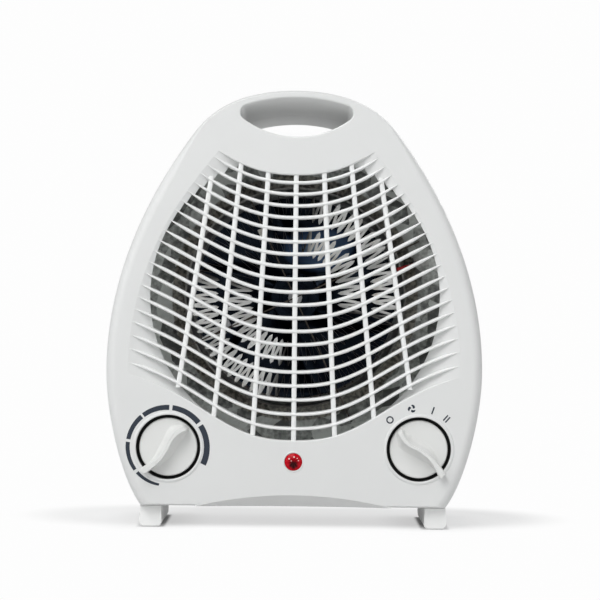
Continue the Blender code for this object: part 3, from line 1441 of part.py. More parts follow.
def make_stator_and_coil():
    """The laminated C-frame round the rotor, and the coil on its lower leg."""
    half = STATOR_WIDTH / 2
    back = MOTOR_FRONT_Y + STATOR_DEPTH
    stator = block(
        "motor_stator", (-half, MOTOR_FRONT_Y, FAN_Z - STATOR_BELOW), (half, back, FAN_Z + STATOR_ABOVE),
        "lamination",
    )
    window_low = FAN_Z - STATOR_BELOW + STATOR_LEG_WIDTH
    window_high = window_low + STATOR_WINDOW_HEIGHT
    window_half = half - STATOR_LEG_WIDTH
    front_cut = MOTOR_FRONT_Y - WALL
    back_cut = back + WALL
    cut(stator, block("window", (-window_half, front_cut, window_low), (window_half, back_cut, window_high)))
    cut(stator, rod("bore", STATOR_BORE_RADIUS, front_cut, back_cut, z=FAN_Z))
    for x in (-MOTOR_SCREW_X, MOTOR_SCREW_X):
        cut(stator, screw_hole(x, FAN_Z, front_cut, back_cut))
    coil_half = window_half - COIL_END_GAP
    leg_low = window_low - STATOR_LEG_WIDTH
    coil = block(
        "motor_coil", (-coil_half, MOTOR_FRONT_Y - COIL_THICKNESS, leg_low - COIL_THICKNESS),
        (coil_half, back + COIL_THICKNESS, window_high - GAP), "copper_winding",
    )
    hole_low = (-half, MOTOR_FRONT_Y - GAP, leg_low - GAP)
    cut(coil, block("hole", hole_low, (half, back + GAP, window_low + GAP)))
    return stator, coil


def make_bracket(name, side):
    """A bearing bracket across the stator: a bent strip with two feet and a bearing boss."""
    face = MOTOR_FRONT_Y if side < 0 else MOTOR_FRONT_Y + STATOR_DEPTH
    near = face + side * GAP
    far = face + side * BRACKET_STANDOFF
    sheet = side * BRACKET_SHEET
    reach = MOTOR_SCREW_X + BRACKET_WIDTH / 4
    knee = MOTOR_SCREW_X - BRACKET_WIDTH / 2
    half_strip = [
        (reach, near), (reach, near + sheet), (knee + 0.7 * BRACKET_SHEET, near + sheet),
        (knee - BRACKET_SHEET, far + sheet),
    ]
    inner = [(knee - 2 * BRACKET_SHEET, far), (knee, near)]
    strip = half_strip + [(-x, y) for x, y in reversed(half_strip)]
    strip += [(-x, y) for x, y in reversed(inner)] + inner
    rings = []
    for z in (FAN_Z - BRACKET_WIDTH / 2, FAN_Z + BRACKET_WIDTH / 2):
        rings.append([(x, y, z) for x, y in strip])
    points, faces = loft(rings)
    bracket = mesh_object(name, points, faces, "steel")
    boss_front, boss_back = sorted((far, far + 2.6 * sheet))
    add(bracket, rod("boss", BRACKET_BOSS_RADIUS, boss_front, boss_back, z=FAN_Z, segments=HOLE_SIDES))
    low, high = sorted((near - 2 * sheet, far + 4 * sheet))
    cut(bracket, rod("bore", SHAFT_RADIUS + GAP, low, high, z=FAN_Z, segments=SHAFT_SIDES))
    for x in (-MOTOR_SCREW_X, MOTOR_SCREW_X):
        cut(bracket, screw_hole(x, FAN_Z, low, high))
    return bracket


def make_gland():
    """The cord inlet's bushing in the back wall."""
    flange = BACK_Y + GAP
    inside = BACK_Y - WALL - GAP - GLAND_INNER_REACH
    profile = (
        (GLAND_BORE_RADIUS, flange + GLAND_REACH), (GLAND_RADIUS - GLAND_SOFT_EDGE, flange + GLAND_REACH),
        (GLAND_FLANGE_RADIUS, flange + GLAND_REACH / 2), (GLAND_FLANGE_RADIUS, flange),
        (GLAND_RADIUS, flange), (GLAND_RADIUS, inside), (GLAND_BORE_RADIUS, inside),
    )
    return turned("cord_gland", profile, "black_rubber", HOLE_SIDES, GLAND_X, GLAND_Z)


def build():
    """Builds every piece of the heater."""
    make_front_shell()
    make_rear_shell()
    make_foot("foot_left", -1)
    make_foot("foot_right", 1)
    for name, x, rest in (("thermostat", -KNOB_X, THERMOSTAT_REST), ("selector", KNOB_X, SELECTOR_REST)):
        turning = [make_knob(f"{name}_knob", x, rest), make_spindle(f"{name}_spindle", x)]
        hang_on(f"{name}_axis", (x, FACE_Y, KNOB_Z), turning)
    make_control_body("thermostat_body", -KNOB_X, "ceramic", 2)
    make_control_body("selector_switch_body", KNOB_X, "switch_plastic", 3)
    make_lamp()
    make_duct()
    make_board("mica_board_long", BOARD_ANGLE, True)
    make_board("mica_board_cross", BOARD_ANGLE + math.pi / 2, False)
    make_wire("heating_wire_outer", OUTER_WIRE)
    make_wire("heating_wire_inner", INNER_WIRE)
    make_board_parts()
    make_lead()
    impeller = make_impeller()
    hang_on("fan_axis", (0.0, IMPELLER_FRONT_Y, FAN_Z), [impeller, *make_shaft_and_rotor()])
    make_stator_and_coil()
    make_bracket("motor_bracket_front", -1)
    make_bracket("motor_bracket_rear", 1)
    make_gland()
    for number, (x, z) in enumerate(both_sides(post_places()), start=1):
        make_screw(f"shell_screw_{number}", x, z, column_floor_y() + GAP, SHELL_SCREW_LENGTH)
    for name, x in (("thermostat", -KNOB_X), ("selector", KNOB_X)):
        for number, offset in enumerate((-CONTROL_SCREW_OFFSET, CONTROL_SCREW_OFFSET), start=1):
            head_y = well_floor_y() - GAP
            make_screw(f"{name}_screw_{number}", x + offset, KNOB_Z, head_y, SHORT_SCREW_LENGTH, facing=-1)
    for name, side in (("left", -1), ("right", 1)):
        head_y = duct_mouth_y() + DUCT_SHEET + GAP
        make_screw(f"duct_screw_{name}", side * ear_place(), FAN_Z, head_y, SHORT_SCREW_LENGTH)
        head_y = MOTOR_FRONT_Y - GAP - BRACKET_SHEET - GAP
        length = motor_post_front_y() + 0.7 * SHORT_SCREW_LENGTH - head_y
        make_screw(f"motor_screw_{name}", side * MOTOR_SCREW_X, FAN_Z, head_y, length, facing=-1)


for old in list(bpy.data.objects):
    bpy.data.objects.remove(old)
build()
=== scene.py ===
"""Looks of a portable fan heater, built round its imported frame.

Lengths are in metres. The front faces -Y, +Z is up and the floor is at z = 0.
"""
import logging
import math
from dataclasses import dataclass, field
from enum import Enum
from typing import Any, Callable, ClassVar, Union

import bmesh
import bpy
import numpy as np
from mathutils import Matrix, Vector


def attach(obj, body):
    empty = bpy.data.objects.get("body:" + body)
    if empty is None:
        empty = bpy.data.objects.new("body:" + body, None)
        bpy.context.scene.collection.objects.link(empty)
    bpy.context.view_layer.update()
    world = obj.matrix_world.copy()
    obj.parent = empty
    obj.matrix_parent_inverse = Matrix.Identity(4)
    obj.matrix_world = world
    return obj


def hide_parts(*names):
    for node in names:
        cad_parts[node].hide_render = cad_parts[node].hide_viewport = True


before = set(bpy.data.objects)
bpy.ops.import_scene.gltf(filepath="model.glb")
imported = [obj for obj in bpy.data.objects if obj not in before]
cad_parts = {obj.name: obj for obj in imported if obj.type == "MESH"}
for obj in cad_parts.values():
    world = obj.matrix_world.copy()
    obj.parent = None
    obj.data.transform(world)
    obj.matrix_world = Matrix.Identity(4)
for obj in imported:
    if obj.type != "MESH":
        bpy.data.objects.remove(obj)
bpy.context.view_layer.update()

MM = 0.001
FACE_Y = -52.0 * MM
FAN_Z = 134.0 * MM
KNOB_X = 72.6 * MM
KNOB_Z = 46.8 * MM
LAMP_Z = 38.9 * MM
FADE_Z = 205.0 * MM
FADE_HEIGHT = 31.0 * MM
LOG = logging.getLogger("fan_heater")
Colour = tuple[float, float, float]
Stretch = tuple[float, float, float]
Sockets = dict[str, Any]


# Shader bench


def operator_node(operation: str, swapped: bool = False) -> Callable[["Signal", "Value"], "Signal"]:
    """An operator method that adds one Math node.

    Args:
        operation: The Math node's operation.
        swapped: Whether the signal is the second value.

    Returns:
        The method.
    """

    def apply(signal: "Signal", other: "Value") -> "Signal":
        """The node's output for the signal and the other value."""
        first, second = (other, signal) if swapped else (signal, other)
        return signal.bench.node("ShaderNodeMath", {"operation": operation}, {0: first, 1: second})

    return apply


@dataclass(frozen=True)
class Signal:
    """An output of a shader node on its bench, with arithmetic that adds Math nodes."""

    bench: "NodeBench"
    socket: bpy.types.NodeSocket

    __add__ = operator_node("ADD")
    __radd__ = operator_node("ADD", True)
    __sub__ = operator_node("SUBTRACT")
    __rsub__ = operator_node("SUBTRACT", True)
    __mul__ = operator_node("MULTIPLY")
    __rmul__ = operator_node("MULTIPLY", True)
    __truediv__ = operator_node("DIVIDE")
    __pow__ = operator_node("POWER")
    at_least = operator_node("MAXIMUM")
    angle_over = operator_node("ARCTAN2")

    def size(self) -> "Signal":
        """The signal without its sign."""
        return (self * self) ** 0.5

    def wave(self) -> "Signal":
        """A sine of the signal, from 0 to 1."""
        return self.bench.node("ShaderNodeMath", {"operation": "SINE"}, {0: self}) * 0.5 + 0.5

    def step(self, low: float, high: float) -> "Signal":
        """A smooth step from 0 at low to 1 at high.

        Args:
            low: Where the step starts.
            high: Where it ends.

        Returns:
            The stepped signal.
        """
        settings = {"interpolation_type": "SMOOTHSTEP"}
        links = {0: self, 1: low, 2: high, 3: 0.0, 4: 1.0}
        return self.bench.node("ShaderNodeMapRange", settings, links)


Value = Union[Signal, float]


def length(first: Signal, second: Signal) -> Signal:
    """The length of a line from its two components: the root of the sum of their squares."""
    return (first * first + second * second) ** 0.5


class NodeBench:
    """The node tree of one material or world, and the one method that makes nodes in it."""

    def __init__(self, owner: Any) -> None:
        """Starts with the empty tree of a material or world."""
        self.owner = owner
        owner.use_nodes = True
        self.tree = owner.node_tree
        self.tree.nodes.clear()

    def node(
        self, kind: str, settings: dict[str, Any] | None = None,
        links: dict[Any, Any] | None = None, output: Any = 0,
    ) -> Signal:
        """Makes a node, sets it up and fills its inputs.

        Args:
            kind: The node's type.
            settings: Its settings, such as an operation.
            links: The values or signals of its inputs, by index or name.
            output: Which output is given back.

        Returns:
            The chosen output.
        """
        made = self.tree.nodes.new(kind)
        for key, value in (settings or {}).items():
            setattr(made, key, value)
        for key, value in (links or {}).items():
            socket = made.inputs[key]
            if isinstance(value, Signal):
                self.tree.links.new(value.socket, socket)
            elif socket.type == "RGBA":
                socket.default_value = (*value, 1.0)
            else:
                socket.default_value = value
        return Signal(self, made.outputs[output])

    def axis(self, index: int) -> Signal:
        """One object coordinate: 0 for X, 1 for Y, 2 for Z."""
        plain = self.node("ShaderNodeTexCoord", output="Object")
        return self.node("ShaderNodeSeparateXYZ", links={0: plain}, output=index)

    def round(self, centre_z: float) -> tuple[Signal, Signal]:
        """The distances across and up from a line along Y at the given height."""
        return self.axis(0), self.axis(2) - centre_z

    def noise(self, size: float, detail: float = 2.0, stretch: Stretch = (1.0, 1.0, 1.0)) -> Signal:
        """Smooth noise from about 0 to 1.

        Args:
            size: The size of its patches, in metres.
            detail: Its octaves.
            stretch: Factors along X, Y and Z.

        Returns:
            The noise.
        """
        plain = self.node("ShaderNodeTexCoord", output="Object")
        place = self.node("ShaderNodeVectorMath", {"operation": "MULTIPLY"}, {0: plain, 1: stretch})
        links = {"Vector": place, "Scale": 1.0 / size, "Detail": detail}
        return self.node("ShaderNodeTexNoise", None, links)

    def cell_tone(self, size: float) -> Signal:
        """One random tone from 0 to 1 for each cell of a Voronoi pattern.

        Args:
            size: The size of its cells, in metres.

        Returns:
            The tone.
        """
        plain = self.node("ShaderNodeTexCoord", output="Object")
        cells = self.node("ShaderNodeTexVoronoi", None, {"Vector": plain, "Scale": 1.0 / size}, "Color")
        return self.node("ShaderNodeSeparateColor", links={0: cells})

    def blend(self, share: Value, first: Any, second: Any) -> Signal:
        """A colour between two colours.

        Args:
            share: 0 for the first, 1 for the second.
            first: A colour or a signal.
            second: A colour or a signal.

        Returns:
            The mixed colour.
        """
        settings = {"data_type": "RGBA", "clamp_factor": True}
        return self.node("ShaderNodeMix", settings, {0: share, 6: first, 7: second}, 2)

    def bump(self, height: Signal, depth: float, strength: float = 1.0) -> Signal:
        """A bumped normal.

        Args:
            height: The relief, from 0 to 1.
            depth: Its depth, in metres.
            strength: How strongly it shows.

        Returns:
            The normal.
        """
        links = {"Height": height, "Distance": depth, "Strength": strength}
        return self.node("ShaderNodeBump", None, links)

    def end(self, shader: Signal, kind: str) -> Any:
        """Links a shader to the tree's output.

        Args:
            shader: The shader.
            kind: The output node's type.

        Returns:
            The material or world.
        """
        output = self.tree.nodes.new(kind)
        self.tree.links.new(shader.socket, output.inputs["Surface"])
        return self.owner


# Finishes


def shaded(colour: Colour, factor: float) -> Colour:
    """A colour made darker or lighter by a factor."""
    return tuple(min(channel * factor, 1.0) for channel in colour)


@dataclass(frozen=True)
class Finish:
    """A look with its own shader tree. The materials made so far are kept by name."""

    made: ClassVar[dict[str, bpy.types.Material]] = {}
    name: str

    def sockets(self, bench: NodeBench) -> Sockets:
        """The inputs of the look's Principled shader; each look has its own.

        Args:
            bench: Where their nodes are made.

        Returns:
            Values and signals by the input's name.
        """
        raise NotImplementedError

    def material(self) -> bpy.types.Material:
        """The look as a material, made on first use."""
        if self.name not in self.made:
            bench = NodeBench(bpy.data.materials.new(self.name))
            shader = bench.node("ShaderNodeBsdfPrincipled", None, self.sockets(bench))
            self.made[self.name] = bench.end(shader, "ShaderNodeOutputMaterial")
        return self.made[self.name]


@dataclass(frozen=True)
class MouldedPlastic(Finish):
    """Matt moulded plastic: fine spark-eroded grain, faint mottling and a soft, uneven sheen."""

    colour: Colour
    roughness: float = 0.42
    grain: float = 0.45 * MM
    depth: float = 0.02 * MM
    mottling: float = 0.018

    def sockets(self, bench: NodeBench) -> Sockets:
        """The shader's inputs."""
        broad = bench.noise(38 * MM, 3.0)
        fine = bench.noise(self.grain, 2.0)
        share = broad * 0.7 + fine * 0.3
        darker = shaded(self.colour, 1 - self.mottling)
        colour = bench.blend(share, darker, shaded(self.colour, 1 + self.mottling))
        roughness = self.roughness + (bench.noise(9 * MM, 2.0) - 0.5) * 0.12
        normal = bench.bump(fine, self.depth, 0.5)
        return {
            "Base Color": colour, "Roughness": roughness, "Normal": normal, "Specular IOR Level": 0.45,
        }


@dataclass(frozen=True)
class PaintedShadePlastic(Finish):
    """Moulded plastic with painted shade: its recesses turn dark behind a given depth."""

    colour: Colour
    light_y: float
    dark_y: float
    dark: float = 0.06

    def sockets(self, bench: NodeBench) -> Sockets:
        """The shader's inputs."""
        fine = bench.noise(0.45 * MM, 2.0)
        cloud = bench.noise(6 * MM, 2.0)
        # Painted shade: darker the further the surface lies behind the face.
        deep = (bench.axis(1) + cloud * 0.8 * MM).step(self.light_y, self.dark_y)
        face = bench.blend(fine, shaded(self.colour, 0.985), shaded(self.colour, 1.015))
        colour = bench.blend(deep, face, shaded(self.colour, self.dark))
        return {
            "Base Color": colour, "Roughness": 0.42 + cloud * 0.1 + deep * 0.2,
            "Specular IOR Level": 0.45, "Normal": bench.bump(fine, 0.02 * MM, 0.5),
        }


@dataclass(frozen=True)
class FanPlastic(Finish):
    """Smooth dark blue plastic with faint ripples and dust, and a painted highlight on one blade: a pale
    streak in a blue patch.

    The streak and the patch of the painted highlight are ellipses about one place: each has its half sizes
    and its colour.
    """

    colour: Colour
    roughness: float
    sheen: Colour
    highlight_place: tuple[float, float] = (14.0 * MM, 163.5 * MM)
    highlight_patch_size: tuple[float, float] = (24.0 * MM, 15.0 * MM)
    highlight_patch_colour: Colour = (0.11, 0.19, 0.36)
    highlight_shift: float = 2.0 * MM
    highlight_streak_size: tuple[float, float] = (11.0 * MM, 3.2 * MM)
    highlight_streak_colour: Colour = (0.55, 0.75, 0.95)
    dust_colour: Colour = (0.45, 0.45, 0.44)

    def sockets(self, bench: NodeBench) -> Sockets:
        """The shader's inputs."""
        ripple = bench.noise(14 * MM, 1.0)
        dust = bench.noise(0.8 * MM, 3.0).step(0.62, 0.78)
        dusty = bench.blend(dust * 0.012, self.colour, self.dust_colour)
        # Painted highlight: a blue patch with a pale streak, fixed about one place on the fan.
        across = bench.axis(0) - self.highlight_place[0]
        up = bench.axis(2) - self.highlight_place[1]
        shifted = across + self.highlight_shift
        patch = (across / self.highlight_patch_size[0]) ** 2.0 + (up / self.highlight_patch_size[1]) ** 2.0
        streak = (shifted / self.highlight_streak_size[0]) ** 2.0 + (up / self.highlight_streak_size[1]) ** 2.0
        pale = bench.blend(patch.step(1.0, 0.35) * 0.85, dusty, self.highlight_patch_colour)
        colour = bench.blend(streak.step(1.0, 0.1) * 0.6, pale, self.highlight_streak_colour)
        roughness = self.roughness + dust * 0.18 + ripple * 0.06
        return {
            "Base Color": colour, "Roughness": roughness, "Normal": bench.bump(ripple, 0.25 * MM, 0.4),
            "Specular IOR Level": 0.28, "Specular Tint": self.sheen,
        }


@dataclass(frozen=True)
class GalvanisedSheet(Finish):
    """Zinc-coated sheet: crystal spangles and streaks, and painted brownish shade within a radius about the
    fan, in place of a crease in the sheet.
    """

    shade_radius: float
    colour: Colour = (0.50, 0.52, 0.50)
    brown_dark: Colour = (0.09, 0.08, 0.065)
    brown_pale: Colour = (0.36, 0.33, 0.28)
    shade_edge: float = 0.5 * MM

    def sockets(self, bench: NodeBench) -> Sockets:
        """The shader's inputs."""
        tone = bench.cell_tone(11 * MM)
        streak = bench.noise(2.2 * MM, 3.0, (1.0, 0.12, 1.0))
        far = length(*bench.round(FAN_Z))
        # Painted shade: brownish and darker inside the radius, where a crease in the sheet would darken it.
        crease_shade = far.step(self.shade_radius + self.shade_edge, self.shade_radius - self.shade_edge)
        zinc = (tone * 0.5 + streak * 0.5).step(0.25, 0.7)
        plain = bench.blend(zinc, shaded(self.colour, 0.3), shaded(self.colour, 1.5))
        brown = bench.blend(streak.step(0.38, 0.62), self.brown_dark, self.brown_pale)
        colour = bench.blend(crease_shade * 0.8, plain, brown)
        roughness = 0.36 + tone * 0.16 + streak * 0.12
        return {
            "Base Color": colour, "Roughness": roughness, "Metallic": 0.3,
            "Normal": bench.bump(streak, 0.05 * MM, 0.4),
        }


@dataclass(frozen=True)
class PlatedSteel(Finish):
    """Zinc-plated steel with fine brushing and a few dull specks."""

    colour: Colour = (0.58, 0.58, 0.59)
    roughness: float = 0.28

    def sockets(self, bench: NodeBench) -> Sockets:
        """The shader's inputs."""
        brushing = bench.noise(0.5 * MM, 3.0, (1.0, 0.15, 1.0))
        specks = bench.noise(2.5 * MM, 3.0).step(0.58, 0.72)
        colour = bench.blend(specks * 0.5, self.colour, shaded(self.colour, 0.6))
        roughness = self.roughness + brushing * 0.14 + specks * 0.15
        return {
            "Base Color": colour, "Roughness": roughness, "Metallic": 1.0,
            "Normal": bench.bump(brushing, 0.02 * MM, 0.4),
        }


@dataclass(frozen=True)
class ResistanceRibbon(Finish):
    """Bare nichrome ribbon: bright in two opposite quarters and painted dark shade in the others."""

    lit_turn: float
    colour: Colour = (0.96, 0.96, 0.94)
    straw: Colour = (0.80, 0.76, 0.70)
    worn: Colour = (0.55, 0.54, 0.53)
    edge_on_shade: Colour = (0.035, 0.03, 0.027)

    def sockets(self, bench: NodeBench) -> Sockets:
        """The shader's inputs. The bright quarters follow the cosine of twice the angle about the fan."""
        across, up = bench.round(FAN_Z)
        even = (across * across - up * up) * math.cos(2 * self.lit_turn)
        odd = across * up * (2 * math.sin(2 * self.lit_turn))
        # Painted shade: the ribbon goes dark outside the two quarters where it faces forward.
        bright = ((even + odd) / (across * across + up * up)).step(-0.15, 0.35)
        tint = bench.noise(11 * MM, 2.0)
        rolling = bench.noise(0.35 * MM, 2.0, (1.0, 0.2, 1.0))
        warm = bench.blend(tint.step(0.55, 0.8), self.colour, self.straw)
        clean = bench.blend(rolling * 0.15, warm, self.worn)
        colour = bench.blend(bright, self.edge_on_shade, clean)
        return {
            "Base Color": colour, "Roughness": 0.35 + tint * 0.18, "Metallic": 0.15,
            "Normal": bench.bump(rolling, 0.02 * MM, 0.4),
        }


@dataclass(frozen=True)
class MicaBoard(Finish):
    """Pressed mica board: brown and cloudy, with pale glinting flakes; its dark colour is painted shade."""

    # Darker than the board's own brown: painted shade.
    colour: Colour = (0.035, 0.026, 0.018)
    flake: Colour = (0.40, 0.35, 0.27)

    def sockets(self, bench: NodeBench) -> Sockets:
        """The shader's inputs."""
        tone = bench.cell_tone(1.6 * MM)
        cloud = bench.noise(9 * MM, 3.0)
        base = bench.blend(cloud, shaded(self.colour, 0.65), shaded(self.colour, 1.5))
        glint = tone.step(0.82, 0.95)
        colour = bench.blend(glint * 0.2, base, self.flake)
        return {
            "Base Color": colour, "Roughness": 0.52 - glint * 0.28,
            "Normal": bench.bump(tone, 0.05 * MM, 0.5),
        }


@dataclass(frozen=True)
class StackedSheets(Finish):
    """The edges of a stack of thin steel sheets, seen as fine lines across Y."""

    colour: Colour = (0.25, 0.25, 0.26)
    rust_colour: Colour = (0.20, 0.10, 0.05)
    pitch: float = 0.6 * MM

    def sockets(self, bench: NodeBench) -> Sockets:
        """The shader's inputs."""
        lines = (bench.axis(1) * (2 * math.pi / self.pitch)).wave()
        rust = bench.noise(4 * MM, 3.0).step(0.55, 0.8)
        colour = bench.blend(rust * 0.35, shaded(self.colour, 1.2), self.rust_colour)
        return {
            "Base Color": colour, "Roughness": 0.45 + rust * 0.3, "Metallic": 0.8,
            "Normal": bench.bump(lines, 0.12 * MM, 0.6),
        }


@dataclass(frozen=True)
class WoundCopper(Finish):
    """Varnished copper wire wound side by side along X, with painted shade in the grooves between turns."""

    pitch: float = 0.45 * MM
    between: Colour = (0.10, 0.03, 0.01)
    amber: Colour = (0.50, 0.17, 0.06)
    pale: Colour = (0.72, 0.32, 0.12)

    def sockets(self, bench: NodeBench) -> Sockets:
        """The shader's inputs."""
        turns = (bench.axis(0) * (2 * math.pi / self.pitch)).wave()
        varnish = bench.noise(6 * MM, 2.0)
        # Painted shade: dark between the turns, where the grooves lie.
        colour = bench.blend(turns, self.between, bench.blend(varnish, self.amber, self.pale))
        return {
            "Base Color": colour, "Roughness": 0.28 + varnish * 0.1, "Metallic": 0.7,
            "Coat Weight": 0.5, "Normal": bench.bump(turns, 0.15 * MM, 0.7),
        }


@dataclass(frozen=True)
class SpeckledSolid(Finish):
    """A plain solid such as ceramic, rubber or silicone, with specks and a slight relief."""

    colour: Colour
    specks: Colour
    roughness: float
    size: float = 0.7 * MM

    def sockets(self, bench: NodeBench) -> Sockets:
        """The shader's inputs."""
        fine = bench.noise(self.size, 3.0)
        cloud = bench.noise(12 * MM, 2.0)
        colour = bench.blend(fine.step(0.56, 0.72) * 0.6 + cloud * 0.2, self.colour, self.specks)
        return {
            "Base Color": colour, "Roughness": self.roughness + (cloud - 0.5) * 0.16,
            "Normal": bench.bump(fine, 0.05 * MM, 0.5),
        }


@dataclass(frozen=True)
class PrintedInk(Finish):
    """Pad-printed ink: nearly flat, with a faint screen texture."""

    colour: Colour = (0.015, 0.023, 0.038)

    def sockets(self, bench: NodeBench) -> Sockets:
        """The shader's inputs."""
        screen = bench.noise(0.5 * MM, 2.0)
        colour = bench.blend(screen, shaded(self.colour, 0.85), shaded(self.colour, 1.25))
        return {
            "Base Color": colour, "Roughness": 0.4 + screen * 0.12,
            "Normal": bench.bump(screen, 0.01 * MM, 0.4),
        }


@dataclass(frozen=True)
class LampRed(Finish):
    """A clear red lens over a ribbed reflector, with painted light on it: dark rays between bright ones, a
    brighter rim, painted shade low in the middle and small painted white highlights.

    Each painted highlight has an angle in degrees, a reach and a size, the last two as shares of the radius.
    """

    radius: float
    rays: float = 9.0
    shade_place: float = 0.42
    dark: Colour = (0.03, 0.0, 0.001)
    red: Colour = (0.50, 0.001, 0.01)
    painted_highlight_colour: Colour = (0.85, 0.62, 0.60)
    painted_highlights: tuple[tuple[float, float, float], ...] = (
        (82.0, 0.6, 0.14), (142.0, 0.62, 0.13), (17.0, 0.62, 0.1), (150.0, 0.28, 0.08), (44.0, 0.62, 0.09),
    )

    def sockets(self, bench: NodeBench) -> Sockets:
        """The shader's inputs. The rays are a sine of the angle about the lens's axis."""
        across, up = (part / self.radius for part in bench.round(LAMP_Z))
        far = length(across, up)
        rays = (up.angle_over(across) * self.rays).wave()
        tone = bench.cell_tone(1.3 * MM)
        # Painted shade: the lens is darker low in the middle.
        low = length(across, up + self.shade_place).step(0.7, 0.2)
        # Painted light: brighter towards the rim and along the rays.
        glow = 0.35 + far.step(0.3, 0.95) * 0.5 + rays * 0.12 + tone * 0.25 - low * 0.6
        shade = bench.blend(glow.step(0.0, 1.0), self.dark, self.red)
        # Painted highlights: small white spots round the lens.
        lit = []
        for turn, reach, size in self.painted_highlights:
            aside = across - reach * math.cos(math.radians(turn))
            above = up - reach * math.sin(math.radians(turn))
            lit.append(length(aside, above).step(size, size * 0.3))
        colour = bench.blend(sum(lit[1:], lit[0]).step(0.0, 1.0), shade, self.painted_highlight_colour)
        return {
            "Base Color": colour, "Roughness": 0.22 + rays * 0.08, "Specular IOR Level": 0.12,
            "Normal": bench.bump(rays, 0.1 * MM, 0.3),
        }


# Forms


@dataclass
class Form:
    """A shape's corner positions and the corner indices of each face, with ways to make and join shapes."""

    points: np.ndarray
    faces: list[list[int]]

    def __add__(self, other: "Form") -> "Form":
        """Both shapes in one."""
        start = len(self.points)
        moved = [[start + corner for corner in face] for face in other.faces]
        return Form(np.concatenate([self.points, other.points]), self.faces + moved)

    @staticmethod
    def joined(forms: list["Form"]) -> "Form":
        """All the shapes of a list in one."""
        whole = forms[0]
        for form in forms[1:]:
            whole = whole + form
        return whole

    @staticmethod
    def grid(
        points: np.ndarray, rows_close: bool = False, columns_close: bool = False, caps: bool = False,
    ) -> "Form":
        """A skin over a grid: each point is joined to its neighbours in its row and column.

        Args:
            points: An array of rows by columns by 3.
            rows_close: Whether the last row joins the first.
            columns_close: Whether the last column joins the first.
            caps: Whether the first and last rows are closed by a face each.

        Returns:
            The skin.
        """
        rows, columns = points.shape[:2]
        row = np.arange(rows if rows_close else rows - 1)[:, None]
        column = np.arange(columns if columns_close else columns - 1)[None, :]
        below = (row + 1) % rows
        beside = (column + 1) % columns
        corners = np.broadcast_arrays(
            row * columns + column, row * columns + beside,
            below * columns + beside, below * columns + column,
        )
        faces = np.stack(corners, axis=-1).reshape(-1, 4).tolist()
        if caps:
            faces.append(list(range(columns)))
            faces.append(list(range((rows - 1) * columns, rows * columns)))
        return Form(points.reshape(-1, 3), faces)

    @staticmethod
    def slab(front: np.ndarray, back: np.ndarray) -> "Form":
        """A solid between two grids of the same size, with its four edges closed.

        Args:
            front: The front grid.
            back: The back grid.

        Returns:
            The solid.
        """
        edges = [
            (front[0], back[0]), (front[-1], back[-1]),
            (front[:, 0], back[:, 0]), (front[:, -1], back[:, -1]),
        ]
        sides = [Form.grid(np.stack(pair)) for pair in edges]
        return Form.joined([Form.grid(front), Form.grid(back), *sides])

    @staticmethod
    def turned(profile: Any, sides: int, x: float, z: float, closed: bool = True) -> "Form":
        """A profile of (radius, y) pairs turned about a line along Y through (x, z).

        Args:
            profile: The pairs.
            sides: How many steps one turn has.
            x: The line's x.
            z: The line's z.
            closed: Whether the profile runs back to its start; otherwise its ends lie on the axis.

        Returns:
            The turned shape.
        """
        profile = np.asarray(profile, float)
        turn = np.arange(sides) * 2 * math.pi / sides
        radius = profile[:, :1]
        points = np.stack([
            x + radius * np.cos(turn), profile[:, 1:] + 0 * turn, z + radius * np.sin(turn)
        ], axis=2)
        return Form.grid(points, rows_close=closed, columns_close=True)

    @staticmethod
    def prism(outline: np.ndarray, y_front: float, y_back: float, shear: float = 0.0) -> "Form":
        """An outline of (x, z) pairs drawn along Y, sinking by shear for each metre.

        Args:
            outline: The pairs.
            y_front: Where it starts.
            y_back: Where it ends.
            shear: How fast it sinks.

        Returns:
            The prism.
        """
        depth = np.array([y_front, y_back])[:, None]
        x = outline[None, :, 0] + 0 * depth
        z = outline[None, :, 1] - shear * (depth - y_front)
        return Form.grid(np.stack([x, depth + 0 * x, z], axis=2), columns_close=True, caps=True)

    def mesh(self, name: str) -> bpy.types.Object:
        """The shape as a mesh object with its doubles merged and its faces outwards.

        Args:
            name: The object's name.

        Returns:
            The object.
        """
        data = bpy.data.meshes.new(name)
        data.from_pydata(self.points.tolist(), [], self.faces)
        model = bmesh.new()
        model.from_mesh(data)
        bmesh.ops.remove_doubles(model, verts=model.verts, dist=0.002 * MM)
        bmesh.ops.dissolve_degenerate(model, edges=model.edges, dist=0.001 * MM)
        bmesh.ops.recalc_face_normals(model, faces=model.faces)
        model.to_mesh(data)
        model.free()
        item = bpy.data.objects.new(name, data)
        bpy.context.scene.collection.objects.link(item)
        return item


def carve(item: bpy.types.Object, cutter: Form) -> bpy.types.Object:
    """Takes a cutter's shape out of a piece by an exact Boolean.

    Args:
        item: The piece.
        cutter: What is taken away.

    Returns:
        The piece.
    """
    tool = cutter.mesh("cutter")
    modifier = item.modifiers.new("Cut", "BOOLEAN")
    modifier.operation = "DIFFERENCE"
    modifier.solver = "EXACT"
    modifier.object = tool
    graph = bpy.context.evaluated_depsgraph_get()
    cut = bpy.data.meshes.new_from_object(item.evaluated_get(graph))
    item.modifiers.clear()
    item.data = cut
    bpy.data.objects.remove(tool)
    return item


